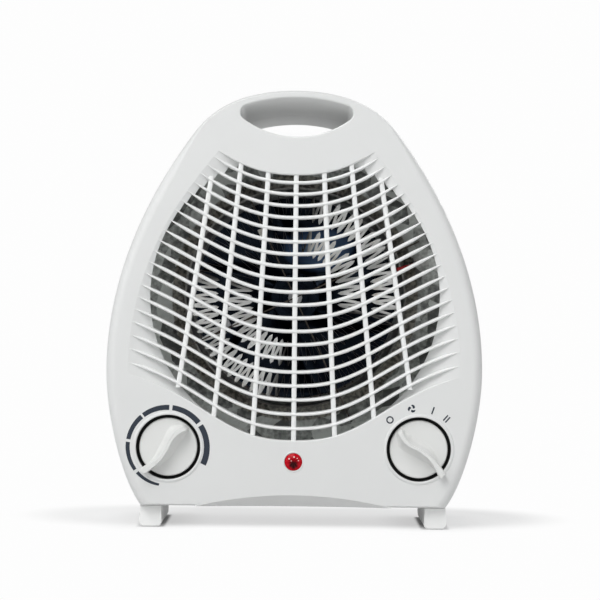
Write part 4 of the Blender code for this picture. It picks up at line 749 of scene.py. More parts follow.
def dress(
    item: bpy.types.Object, finish: Finish, body: str = "casing",
    stands_for: tuple[str, ...] = (), angle: float = 35.0,
) -> bpy.types.Object:
    """Gives a new piece its finish, shading and body, hides the nodes it stands for and logs it.

    Args:
        item: The piece.
        finish: The finish it wears.
        body: The body it rides on.
        stands_for: The nodes it replaces.
        angle: Edges sharper than this stay sharp, in degrees.

    Returns:
        The piece.
    """
    item.data.materials.clear()
    item.data.materials.append(finish.material())
    item.data.shade_smooth()
    item.data.set_sharp_from_angle(angle=math.radians(angle))
    weighted = item.modifiers.new("Weighted normals", "WEIGHTED_NORMAL")
    weighted.keep_sharp = True
    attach(item, body)
    if stands_for:
        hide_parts(*stands_for)
    LOG.info("%s: %d points, rides on %s", item.name, len(item.data.vertices), body)
    return item


# Body shape


def smooth(value: np.ndarray) -> np.ndarray:
    """A smooth step of a value from 0 to 1: 3 v^2 - 2 v^3, held outside."""
    held = np.clip(value, 0.0, 1.0)
    return held * held * (3 - 2 * held)


def quarter(count: int) -> np.ndarray:
    """Angles from 0 to a quarter turn."""
    return np.linspace(0.0, math.pi / 2, count)


def rounded(soft: float, count: int) -> list[tuple[float, float]]:
    """A quarter round between two edges, as distances from the first and from the second.

    Args:
        soft: Its radius.
        count: How many points it has.

    Returns:
        The pairs, from (0, soft) to (soft, 0).
    """
    return [(soft * (1 - math.cos(a)), soft * (1 - math.sin(a))) for a in quarter(count)]


def fading(z: np.ndarray) -> np.ndarray:
    """How far the body's edges have changed from the flank's to the top's: 0 low down, 1 high up."""
    return np.clip((z - FADE_Z) / FADE_HEIGHT, 0, 1)


def circle(radius: float, x: float, z: float, sides: int = 128) -> np.ndarray:
    """A circle as a loop of (x, z) pairs."""
    turn = np.arange(sides) * 2 * math.pi / sides
    return np.stack([x + radius * np.cos(turn), z + radius * np.sin(turn)], axis=1)


@dataclass(frozen=True)
class BodyShape:
    """The body's outline seen from the front, and the depths of its two mouldings."""

    half_width: float = 110.0 * MM
    top_z: float = 255.0 * MM
    bottom_z: float = 12.7 * MM
    belly_z: float = 91.0 * MM
    shoulder: tuple[float, float] = (59.4 * MM, 230.6 * MM)
    base_half: float = 89.5 * MM
    slant: float = math.radians(53)
    top_pull: float = 35.1 * MM
    shoulder_pulls: tuple[float, float] = (14.0 * MM, 36.0 * MM)
    belly_pulls: tuple[float, float] = (61.5 * MM, 26.3 * MM)
    base_pull: float = 18.0 * MM
    front_round: float = 6.0 * MM
    rear_round: float = 10.0 * MM
    parting_y: float = -2.0 * MM
    seam: float = 0.3 * MM
    back_y: float = 50.0 * MM
    lean: float = 26.0 * MM
    lean_z: float = 184.0 * MM
    draft: float = 0.8 * MM
    wall: float = 2.3 * MM
    sharp: float = 0.3

    @staticmethod
    def curve(
        start: np.ndarray, pull: np.ndarray, push: np.ndarray, end: np.ndarray, count: int,
    ) -> np.ndarray:
        """A cubic curve: its four points weighted by (1-t)^3, 3t(1-t)^2, 3t^2(1-t) and t^3.

        Args:
            start: The first point.
            pull: The first handle.
            push: The second handle.
            end: The last point, which isn't in the result.
            count: How many points are made.

        Returns:
            The points.
        """
        t = np.linspace(0.0, 1.0, count, endpoint=False)[:, None]
        return (1 - t) ** 3 * start + 3 * t * (1 - t) ** 2 * pull + 3 * t**2 * (1 - t) * push + t**3 * end

    def loop(self, fineness: int) -> np.ndarray:
        """The outline as (x, z) pairs, anticlockwise from the front.

        Args:
            fineness: How many points each of its three curves has.

        Returns:
            The loop.
        """
        top = np.array([0.0, self.top_z])
        shoulder = np.array(self.shoulder)
        belly = np.array([self.half_width, self.belly_z])
        base = np.array([self.base_half, self.bottom_z])
        fall = np.array([math.cos(self.slant), -math.sin(self.slant)])
        tuck = np.array([-math.cos(self.slant), -math.sin(self.slant)])
        above, below = self.shoulder_pulls
        up, down = self.belly_pulls
        right = np.concatenate([
            self.curve(top, top + (self.top_pull, 0), shoulder - above * fall, shoulder, fineness),
            self.curve(shoulder, shoulder + below * fall, belly + (0, up), belly, fineness),
            self.curve(belly, belly - (0, down), base - self.base_pull * tuck, base, fineness),
            [base],
        ])
        left = right[1:] * (-1, 1)
        return np.concatenate([left, right[::-1]])

    def inset(self, loop: np.ndarray, distances: Any) -> np.ndarray:
        """Moves each edge of a loop inwards: a corner goes where its two moved edges cross.

        Where two edges are nearly in line, the corner goes straight in by the mean of their distances.

        Args:
            loop: The loop.
            distances: How far each edge moves.

        Returns:
            The moved loop.
        """
        far_after = np.broadcast_to(distances, len(loop))
        far_before = np.roll(far_after, 1)
        edges = np.roll(loop, -1, axis=0) - loop
        edges = edges / np.linalg.norm(edges, axis=1)[:, None]
        after = np.stack([-edges[:, 1], edges[:, 0]], axis=1)
        before = np.roll(after, 1, axis=0)
        cross = before[:, 0] * after[:, 1] - before[:, 1] * after[:, 0]
        corner = np.abs(cross) > self.sharp
        exact = np.stack([
            far_before * after[:, 1] - far_after * before[:, 1],
            far_after * before[:, 0] - far_before * after[:, 0],
        ], axis=1) / np.where(corner, cross, 1.0)[:, None]
        middle = before + after
        mean = middle * ((far_before + far_after) / np.sum(middle * middle, axis=1))[:, None]
        return loop + np.where(corner[:, None], exact, mean)

    def edge_values(self, loop: np.ndarray, flank: float, top: float, bottom: float) -> np.ndarray:
        """One value for each edge: the flank's, blended to the top's, and the bottom's below.

        Args:
            loop: The loop.
            flank: The value on the flanks.
            top: The value at the top.
            bottom: The value of the level bottom edge.

        Returns:
            The values.
        """
        after = np.roll(loop, -1, axis=0)
        middle_z = (loop[:, 1] + after[:, 1]) / 2
        values = flank + (top - flank) * fading(middle_z)
        level = (np.abs(after[:, 1] - loop[:, 1]) < 1e-6) & (middle_z < self.belly_z)
        return np.where(level, bottom, values)

    def back_depth(self, z: np.ndarray) -> np.ndarray:
        """The depth of the back wall at a height: it leans forward towards the handle."""
        return self.back_y - self.lean * smooth((z - self.lean_z) / (self.top_z - self.lean_z))

    def front_rings(self, wall: float, steps: int, loop: np.ndarray) -> np.ndarray:
        """Rings of the front moulding from its open edge to its face, for an outer or inner skin.

        The edge is a quarter ellipse: in by soft (1 - cos a) and back by front_round (1 - sin a).

        Args:
            wall: 0 for the outer skin, or the wall's thickness.
            steps: How many rings round the edge.
            loop: The outline.

        Returns:
            Rings by points by 3.
        """
        draft = self.edge_values(loop, self.draft, self.draft, 0.0)
        soft = np.maximum(self.edge_values(loop, self.front_round, 1.6 * MM, 1.5 * MM) - wall, 0.2 * MM)
        rings = [np.insert(self.inset(loop, wall), 1, self.parting_y, axis=1)]
        for angle in quarter(steps):
            moved = self.inset(loop, wall + draft + soft * (1 - math.cos(angle)))
            depth = FACE_Y + wall + (self.front_round - wall) * (1 - math.sin(angle))
            rings.append(np.insert(moved, 1, depth, axis=1))
        return np.stack(rings)

    def rear_rings(self, wall: float, steps: int, loop: np.ndarray) -> np.ndarray:
        """Rings of the rear moulding from its open edge over its rounded edge to its middle.

        Args:
            wall: 0 for the outer skin, or the wall's thickness.
            steps: How many rings round the edge.
            loop: The outline.

        Returns:
            Rings by points by 3.
        """
        draft = self.edge_values(loop, self.draft, self.draft, 0.0)
        soft = np.maximum(self.edge_values(loop, self.rear_round, 6 * MM, 5 * MM) - wall, 0.5 * MM)
        rings = [np.insert(self.inset(loop, wall), 1, self.parting_y + self.seam, axis=1)]
        for angle in quarter(steps):
            moved = self.inset(loop, wall + draft + soft * (1 - math.cos(angle)))
            round_off = (self.rear_round - wall) * (1 - math.sin(angle))
            rings.append(np.insert(moved, 1, self.back_depth(moved[:, 1]) - wall - round_off, axis=1))
        centre = np.array([0.0, FAN_Z])
        for share in np.linspace(0.97, 0.4, steps):
            inner = centre + (moved - centre) * share
            rings.append(np.insert(inner, 1, self.back_depth(inner[:, 1]) - wall, axis=1))
        return np.stack(rings)

    def skin_depth(self, x: np.ndarray, z: np.ndarray) -> np.ndarray:
        """The depth of the rear moulding's outer surface at a place near its rounded edge.

        Args:
            x: The place's x.
            z: The place's z.

        Returns:
            The depth: the back wall's, less the quarter round near the outline.
        """
        loop = self.loop(60)
        away = np.hypot(loop[:, 0] - x[..., None], loop[:, 1] - z[..., None]).min(axis=-1)
        width = self.rear_round - 4 * MM * fading(z)
        share = np.clip(1 - (away - self.draft) / width, 0, 1)
        return self.back_depth(z) - self.rear_round * (1 - np.sqrt(1 - share**2))


@dataclass(frozen=True)
class HandleOpening:
    """The lens-shaped hole of the handle: an arc above, one below and a small one at each end."""

    top_z: float = 249.8 * MM
    top_radius: float = 99.0 * MM
    low_z: float = 227.4 * MM
    low_radius: float = 52.0 * MM
    end_radius: float = 4.5 * MM
    slope: float = 0.13

    def loop(self, grow: float = 0.0, fineness: int = 48) -> np.ndarray:
        """The lens at the face, grown outwards.

        Args:
            grow: How far it is grown.
            fineness: How many points the long arcs have.

        Returns:
            The loop of (x, z) pairs.
        """
        high = self.top_z - self.top_radius
        low = self.low_z + self.low_radius
        reach_high = self.top_radius - self.end_radius
        reach_low = self.low_radius - self.end_radius
        apart = low - high
        rise = (reach_high**2 - reach_low**2 + apart**2) / (2 * apart)
        end_x = math.sqrt(reach_high**2 - rise**2)
        end_z = high + rise
        top_turn = math.atan2(rise, end_x)
        low_turn = math.atan2(end_z - low, end_x)
        arcs = [
            (end_x, end_z, self.end_radius, low_turn, top_turn, fineness // 3),
            (0.0, high, self.top_radius, top_turn, math.pi - top_turn, fineness),
            (-end_x, end_z, self.end_radius, math.pi - top_turn, math.pi - low_turn, fineness // 3),
            (0.0, low, self.low_radius, -math.pi - low_turn, low_turn, fineness),
        ]
        parts = []
        for x, z, radius, start, end, count in arcs:
            turn = np.linspace(start, end, count, endpoint=False)
            reach = radius + grow
            parts.append(np.stack([x + reach * np.cos(turn), z + reach * np.sin(turn)], axis=1))
        return np.concatenate(parts)

    def tunnel(self, face_y: float, stations: list[tuple[float, float]]) -> Form:
        """A closed ring of wall round the passage, from (depth, growth) stations that run round it.

        Args:
            face_y: The depth at which the lens isn't yet lowered.
            stations: Depth and growth of each loop; the last joins the first.

        Returns:
            The wall.
        """
        loops = []
        for depth, grow in stations:
            loop = self.loop(grow)
            loop[:, 1] -= self.slope * (depth - face_y)
            loops.append(np.insert(loop, 1, depth, axis=1))
        return Form.grid(np.stack(loops), rows_close=True, columns_close=True)


@dataclass(frozen=True)
class GrilleRows:
    """The grille's sagging rows, counted from the top, and the sloping surround behind them."""

    count: int = 20
    top_z: float = 200.7 * MM
    pitch: float = 6.6 * MM
    growth: float = 0.091 * MM
    first: float = 0.35
    last: float = 20.8
    spans: tuple[float, float] = (43.7 * MM, 52.7 * MM)
    sags: tuple[float, float] = (13.0 * MM, 24.6 * MM)
    sag_power: float = 2.3
    flare: float = 0.62
    opening: float = 84.0 * MM
    depth: float = 7.0 * MM
    steepness: float = 0.5

    def point(self, row: Any, u: Any) -> tuple[np.ndarray, np.ndarray]:
        """A place on a row: x is u times the span, and z rises by a power of |u|, flared low down.

        Args:
            row: The row's number, whole or not.
            u: -1 at the left tip, 1 at the right.

        Returns:
            x and z.
        """
        row, u = np.broadcast_arrays(np.asarray(row, float), np.asarray(u, float))
        grown = np.sin(np.clip(row, 0, None) * math.pi / (2 * (self.count + 1)))
        span = self.spans[0] + self.spans[1] * grown
        sag = self.sags[0] + self.sags[1] * grown
        middle = self.top_z - self.pitch * (row - 1) - self.growth * (row - 1) * row / 2
        reach = np.abs(u)
        power = reach**self.sag_power
        low = power / (power + self.flare * np.clip(1 - reach, 0, None))
        share = np.clip(row / (self.count + 1), 0, 1)
        return u * span, middle + sag * (power + share * (low - power))

    def limit(self, row: np.ndarray) -> np.ndarray:
        """Where a row crosses the round opening, found by halving the step 40 times."""
        low = np.zeros_like(row)
        high = np.ones_like(row)
        for _ in range(40):
            middle = (low + high) / 2
            x, z = self.point(row, middle)
            inside = np.hypot(x, z - FAN_Z) < self.opening
            low = np.where(inside, middle, low)
            high = np.where(inside, high, middle)
        return low

    def floor(self, row: np.ndarray, u: np.ndarray) -> np.ndarray:
        """How far the surround lies behind the face: 0 at the tips, full at the opening."""
        limit = self.limit(np.clip(row, self.first, self.last))
        share = np.clip((1 - np.abs(u)) / (1 - limit), 0, 1)
        return self.fall(row, share)

    def fall(self, row: np.ndarray, share: np.ndarray) -> np.ndarray:
        """The surround's depth at a share of the way from the tips to the opening.

        Its full depth is its width times the steepness, up to a limit, and the share has a power of 1.2.

        Args:
            row: The row's number.
            share: 0 at the tips, 1 at the opening.

        Returns:
            The depth behind the face.
        """
        held = np.clip(row, self.first, self.last)
        width = (1 - self.limit(held)) * self.point(held, 1.0)[0]
        full = self.depth * np.tanh(width * self.steepness / self.depth)
        return 0.02 * MM + full * share**1.2


# Casing


SHELL_COLOUR = (0.735, 0.742, 0.735)
PLASTIC = MouldedPlastic("shell_plastic", SHELL_COLOUR)
# The knob wells wear painted shade behind a given depth.
WELL_SHADE_PLASTIC = PaintedShadePlastic("well_shade_plastic", SHELL_COLOUR, -50.8 * MM, -47.6 * MM)
# Lighter than the shell's plastic: painted light on the feet, against the shade under the body.
FOOT_LIT_PLASTIC = MouldedPlastic("foot_plastic", (0.89, 0.895, 0.885), 0.46)
KNOB_PLASTIC = MouldedPlastic("knob_plastic", (0.75, 0.755, 0.74), 0.38, 0.6 * MM)
# Lighter than the shell's plastic of the same moulding: painted light on the bars and uprights.
GRILLE_LIT_PLASTIC = MouldedPlastic("grille_painted_light_plastic", (0.83, 0.838, 0.83))
STEEL = PlatedSteel("steel")
RUBBER = SpeckledSolid("black_rubber", (0.02, 0.02, 0.02), (0.07, 0.07, 0.07), 0.62)
INK = PrintedInk("dial_ink")
RIBBON = ResistanceRibbon("nichrome", math.radians(33))
FAN_PLASTIC = FanPlastic("fan_plastic", (0.0015, 0.002, 0.005), 0.22, (0.5, 0.7, 1.0))


@dataclass
class FrontCasing:
    """The front moulding: face, handle, knob wells, scoop and the grille's surround and bars.

    The profiles of the wells' mouths and of the lamp's bezel are (radius, y from the face) pairs in mm.
    """

    shape: BodyShape = field(default_factory=BodyShape)
    handle: HandleOpening = field(default_factory=HandleOpening)
    rows: GrilleRows = field(default_factory=GrilleRows)
    lamp_hole: float = 6.2 * MM
    well_hole: float = 20.6 * MM
    well_depth: float = 10.0 * MM
    well_bore: float = 4.0 * MM
    lip: float = 0.8 * MM
    handle_lip: float = 1.1 * MM
    handle_sheet: float = 2.2 * MM
    scoop_half: float = 57.0 * MM
    scoop_rise: float = 7.0 * MM
    scoop_cover: float = 0.05 * MM
    bar_half: float = 0.76 * MM
    bar_foot: float = 1.12 * MM
    bar_round: float = 0.62 * MM
    bar_set: float = 0.12 * MM
    bar_depth: float = 5.4 * MM
    bar_taper: float = 10.0 * MM
    upright_half: float = 1.42 * MM
    upright_foot: float = 1.45 * MM
    upright_set: float = 0.7 * MM
    upright_round: float = 0.75 * MM
    upright_depth: float = 8.0 * MM
    upright_pitch: float = 16.3 * MM
    upright_fan: float = 7.6 * MM
    well_mouth: tuple[tuple[float, float], ...] = (
        (20.6, 0.0), (20.45, -0.12), (20.2, -0.32), (19.85, -0.5), (19.4, -0.6), (19.0, -0.56),
        (18.88, -0.4), (18.74, -0.15), (18.7, 0.2),
    )
    bezel: tuple[tuple[float, float], ...] = (
        (6.2, 0.0), (6.0, -0.16), (5.8, -0.26), (5.5, -0.26), (5.25, -0.14), (5.14, 0.1),
        (5.12, 2.3), (7.2, 2.3), (7.2, 1.0),
    )

    def field_edge(self, u: np.ndarray, top: bool) -> tuple[np.ndarray, ...]:
        """The top or bottom edge of the grille field, with its outward normals.

        Args:
            u: Places along the row.
            top: Whether it is the top edge.

        Returns:
            x, z, and the normal's x and z, away from the field.
        """
        x, z = self.rows.point(self.rows.first if top else self.rows.last, u)
        slope = np.gradient(z, x)
        size = np.sqrt(1 + slope**2) * (1.0 if top else -1.0)
        return x, z, -slope / size, 1 / size

    def lip_at(self, row: float, u: np.ndarray) -> np.ndarray:
        """The lip's radius along an edge: full where the surround is deep, none at the tips."""
        return self.lip * np.clip(self.rows.floor(np.full_like(u, row), u) / (2.0 * MM), 0, 1)

    def field_hole(self) -> np.ndarray:
        """The outline of the hole that the field makes in the face.

        Returns:
            A loop of (x, z) pairs: the top edge and the bottom edge, each moved out by its lip, and the tips.
        """
        u = np.sin(np.linspace(-math.pi / 2, math.pi / 2, 81))
        parts = []
        for top in (True, False):
            row = self.rows.first if top else self.rows.last
            x, z, nx, nz = self.field_edge(u, top)
            lip = self.lip_at(row, u)
            edge = np.stack([x + nx * lip, z + nz * lip], axis=1)
            parts.append(edge if top else edge[::-1])
        tips = np.linspace(self.rows.first, self.rows.last, 60)[1:-1]
        right = np.stack(self.rows.point(tips, 1.0), axis=1)
        left = np.stack(self.rows.point(tips[::-1], -1.0), axis=1)
        return np.concatenate([parts[0], right, parts[1], left])

    def arch(self) -> tuple[np.ndarray, np.ndarray]:
        """The scoop's arch: x, and z on a circle through its foot points and its crown."""
        radius = (self.scoop_half**2 + self.scoop_rise**2) / (2 * self.scoop_rise)
        x = np.linspace(-self.scoop_half, self.scoop_half, 61)
        z = self.shape.bottom_z + self.scoop_rise - radius + np.sqrt(radius**2 - x**2)
        return x, z

    def skin(self) -> bpy.types.Object:
        """The outer and inner skins in one, with every hole cut through the face."""
        loop = self.shape.loop(44)
        outer = self.shape.front_rings(0.0, 9, loop)
        inner = self.shape.front_rings(self.shape.wall, 3, loop)[::-1]
        item = Form.grid(np.concatenate([inner, outer]), columns_close=True, caps=True).mesh("front_casing")
        front = FACE_Y - 2 * MM
        back = FACE_Y + 2 * self.shape.wall
        holes = [
            Form.prism(self.handle.loop(self.handle_lip), front, back),
            Form.prism(self.field_hole(), front, back),
            Form.prism(circle(self.lamp_hole, 0.0, LAMP_Z, 64), front, back),
        ]
        for side in (-1, 1):
            holes.append(Form.prism(circle(self.well_hole, side * KNOB_X, KNOB_Z), front, back))
        x, z = self.arch()
        notch = np.stack([np.append(x, [x[-1], x[0]]), np.append(z, [-10 * MM, -10 * MM])], axis=1)
        notch[:, 1] += FACE_Y - front
        holes.append(Form.prism(notch, front, FACE_Y + 3 * self.scoop_rise, 1.0))
        return carve(item, Form.joined(holes))

    def scoop_wall(self) -> Form:
        """The scoop's sloping wall: the arch drawn back and down until it meets the underside."""
        x, z = self.arch()
        share = np.linspace(0, 1, 6)[:, None]
        fall = (z - self.shape.bottom_z) * share
        cover = self.scoop_cover
        front = np.stack([x + 0 * share, FACE_Y + fall - cover, z - fall - cover], axis=2)
        thick = self.shape.wall / math.sqrt(2)
        return Form.slab(front, front + (0, thick, thick))

    def handle_wall(self) -> Form:
        """The wall of the handle's passage, with a rounded lip at the face."""
        face = FACE_Y
        end = self.shape.parting_y
        sheet = self.handle_sheet
        stations = [(face + depth, grow) for depth, grow in rounded(self.handle_lip, 7)]
        stations += [(end, 0.0), (end, sheet), (face + 3 * MM, sheet)]
        stations.append((face + 1.2 * MM, self.handle_lip + 0.4 * MM))
        return self.handle.tunnel(face, stations)

    def knob_well(self, side: int) -> Form:
        """A knob's well, with the soft raised ring round its mouth."""
        face = FACE_Y
        floor = face + self.well_depth
        back = floor + self.shape.wall
        outer = self.well_hole + 0.2 * MM
        profile = [(radius * MM, face + y * MM) for radius, y in self.well_mouth]
        profile += [
            (profile[-1][0], floor), (self.well_bore, floor), (self.well_bore, back), (outer, back),
            (outer, face + 1 * MM),
        ]
        return Form.turned(profile, 128, side * KNOB_X, KNOB_Z)

    def lamp_bezel(self) -> Form:
        """The fine raised ring round the pilot lamp."""
        profile = np.array(self.bezel) * MM + (0.0, FACE_Y)
        return Form.turned(profile, 64, 0.0, LAMP_Z)

    def surround_slope(self, side: int) -> Form:
        """One flank of the surround: from the tips at the face down to the opening's edge.

        The opening's edge follows the circle, but in the upper rows it is held level between two bars.

        Args:
            side: -1 for the left, 1 for the right.

        Returns:
            A thin sheet.
        """
        rows = np.linspace(self.rows.first - 0.1, self.rows.last + 0.1, 206)[:, None]
        between = np.clip(np.floor(rows) + 0.5, self.rows.first, self.rows.last)
        held = np.clip(rows, self.rows.first, self.rows.last)
        stepped = np.where(rows < 9.0, self.rows.limit(between), self.rows.limit(held))
        share = np.linspace(0, 1, 13)[None, :]
        u = 1 - share * (1 - stepped)
        x, z = self.rows.point(rows, side * u)
        depth = self.rows.fall(rows, share) + 0 * u
        front = np.stack([x, FACE_Y + depth, z], axis=2)
        thick = (1.4 * MM + 0.4 * MM * share) + 0 * u
        return Form.slab(front, front + np.stack([0 * x, thick, 0 * x], axis=2))

    def surround_edge(self, top: bool) -> Form:
        """The wall at the field's top or bottom edge, with a quarter-round lip at the face.

        Args:
            top: Whether it is the top edge.

        Returns:
            A band whose section runs from the face over the lip down to the surround.
        """
        u = np.sin(np.linspace(-math.pi / 2, math.pi / 2, 161))
        row = self.rows.first if top else self.rows.last
        x, z, nx, nz = self.field_edge(u, top)
        lip = self.lip_at(row, u)
        floor = self.rows.floor(np.full_like(u, row), u)
        stations = [(lip * (1 - math.sin(a)), lip * (1 - math.cos(a))) for a in quarter(6)]
        behind = floor + 1.2 * MM
        stations += [(0 * u, behind), (0 * u + 1.6 * MM, behind), (lip + 0.9 * MM, 0 * u + 0.9 * MM)]
        face = FACE_Y
        rings = [np.stack([x + nx * off, face + depth, z + nz * off], axis=1) for off, depth in stations]
        return Form.grid(np.stack(rings, axis=1), columns_close=True, caps=True)

    def bar(self, row: int) -> Form:
        """One sagging bar: a rounded front on flaring sides, thinned to a point at both tips.

        The section's front is half an ellipse; it is carried along the row square to it.

        Args:
            row: The row's number.

        Returns:
            The bar.
        """
        u = np.sin(np.linspace(-math.pi / 2, math.pi / 2, 121))
        x, z = self.rows.point(row, u)
        slope = np.gradient(z, x)
        size = np.sqrt(1 + slope**2)
        from_tip = (1 - np.abs(u)) * self.rows.point(row, 1.0)[0]
        tip = np.clip(from_tip / self.bar_taper, 0.03, 1)[:, None]
        floor = self.rows.floor(np.full_like(u, float(row)), u)[:, None]
        turn = np.linspace(math.pi, 0.0, 9)[None, :]
        feet = [[self.bar_foot, -self.bar_foot]]
        off = np.concatenate([self.bar_half * np.cos(turn), feet], axis=1) * tip**0.6
        front = self.bar_round * (1 - np.sin(turn)) * tip
        back = np.minimum(self.bar_depth, floor + 0.8 * MM)
        depth = np.concatenate([front + self.bar_set * tip, back, back], axis=1)
        points = np.stack([
            x[:, None] - (slope / size)[:, None] * off,
            FACE_Y + depth,
            z[:, None] + off / size[:, None],
        ], axis=2)
        return Form.grid(points, columns_close=True, caps=True)

    def upright(self, number: int) -> Form:
        """One upright: a straight rib with a rounded front; the ribs fan out downwards.

        Args:
            number: -3 for the leftmost to 3 for the rightmost.

        Returns:
            The rib.
        """
        top_z = self.rows.point(self.rows.first, 0.0)[1]
        low_z = self.rows.point(self.rows.last, 0.0)[1]

        def x_at(z: np.ndarray) -> np.ndarray:
            """Where the rib stands at a height."""
            share = (top_z - z) / (top_z - low_z)
            return number * (self.upright_pitch + share * self.upright_fan)

        ends = []
        for sign, row in ((1, self.rows.first), (-1, self.rows.last)):
            z = np.linspace(FAN_Z, FAN_Z + sign * 90 * MM, 900)
            x = x_at(z)
            span = self.rows.point(row, 1.0)[0]
            edge = self.rows.point(row, np.clip(np.abs(x) / span, 0, 1))[1]
            within = np.hypot(x, z - FAN_Z) < self.rows.opening + 0.8 * MM
            ends.append(z[within & (sign * (edge - z) > 0)][-1] + sign * 0.9 * MM)
        z = np.linspace(ends[1], ends[0], 24)[:, None]
        turn = np.linspace(math.pi, 0.0, 9)[None, :]
        feet = [[self.upright_foot, -self.upright_foot]]
        off = np.concatenate([self.upright_half * np.cos(turn), feet], axis=1) + 0 * z
        front = self.upright_set + self.upright_round * (1 - np.sin(turn))
        depth = np.concatenate([front, [[self.upright_depth] * 2]], axis=1) + 0 * z
        points = np.stack([x_at(z) + off, FACE_Y + depth, z + 0 * off], axis=2)
        return Form.grid(points, columns_close=True, caps=True)

    def build(self) -> None:
        """Makes the moulding's pieces and dresses them."""
        wells = Form.joined([self.knob_well(side) for side in (-1, 1)])
        lips = Form.joined([self.handle_wall(), self.lamp_bezel(), self.scoop_wall()])
        slopes = [self.surround_slope(side) for side in (-1, 1)]
        surround = Form.joined(slopes + [self.surround_edge(top) for top in (True, False)])
        bars = Form.joined([self.bar(row) for row in range(1, self.rows.count + 1)])
        ribs = Form.joined([self.upright(number) for number in range(-3, 4)])
        for item, finish, angle in (
            (self.skin(), PLASTIC, 28), (wells.mesh("knob_wells"), WELL_SHADE_PLASTIC, 50),
            (lips.mesh("front_lips"), PLASTIC, 50), (surround.mesh("grille_surround"), PLASTIC, 45),
            (bars.mesh("grille_bars"), GRILLE_LIT_PLASTIC, 60),
            (ribs.mesh("grille_uprights"), GRILLE_LIT_PLASTIC, 60),
        ):
            dress(item, finish, stands_for=("front_shell",), angle=angle)


# Rear moulding


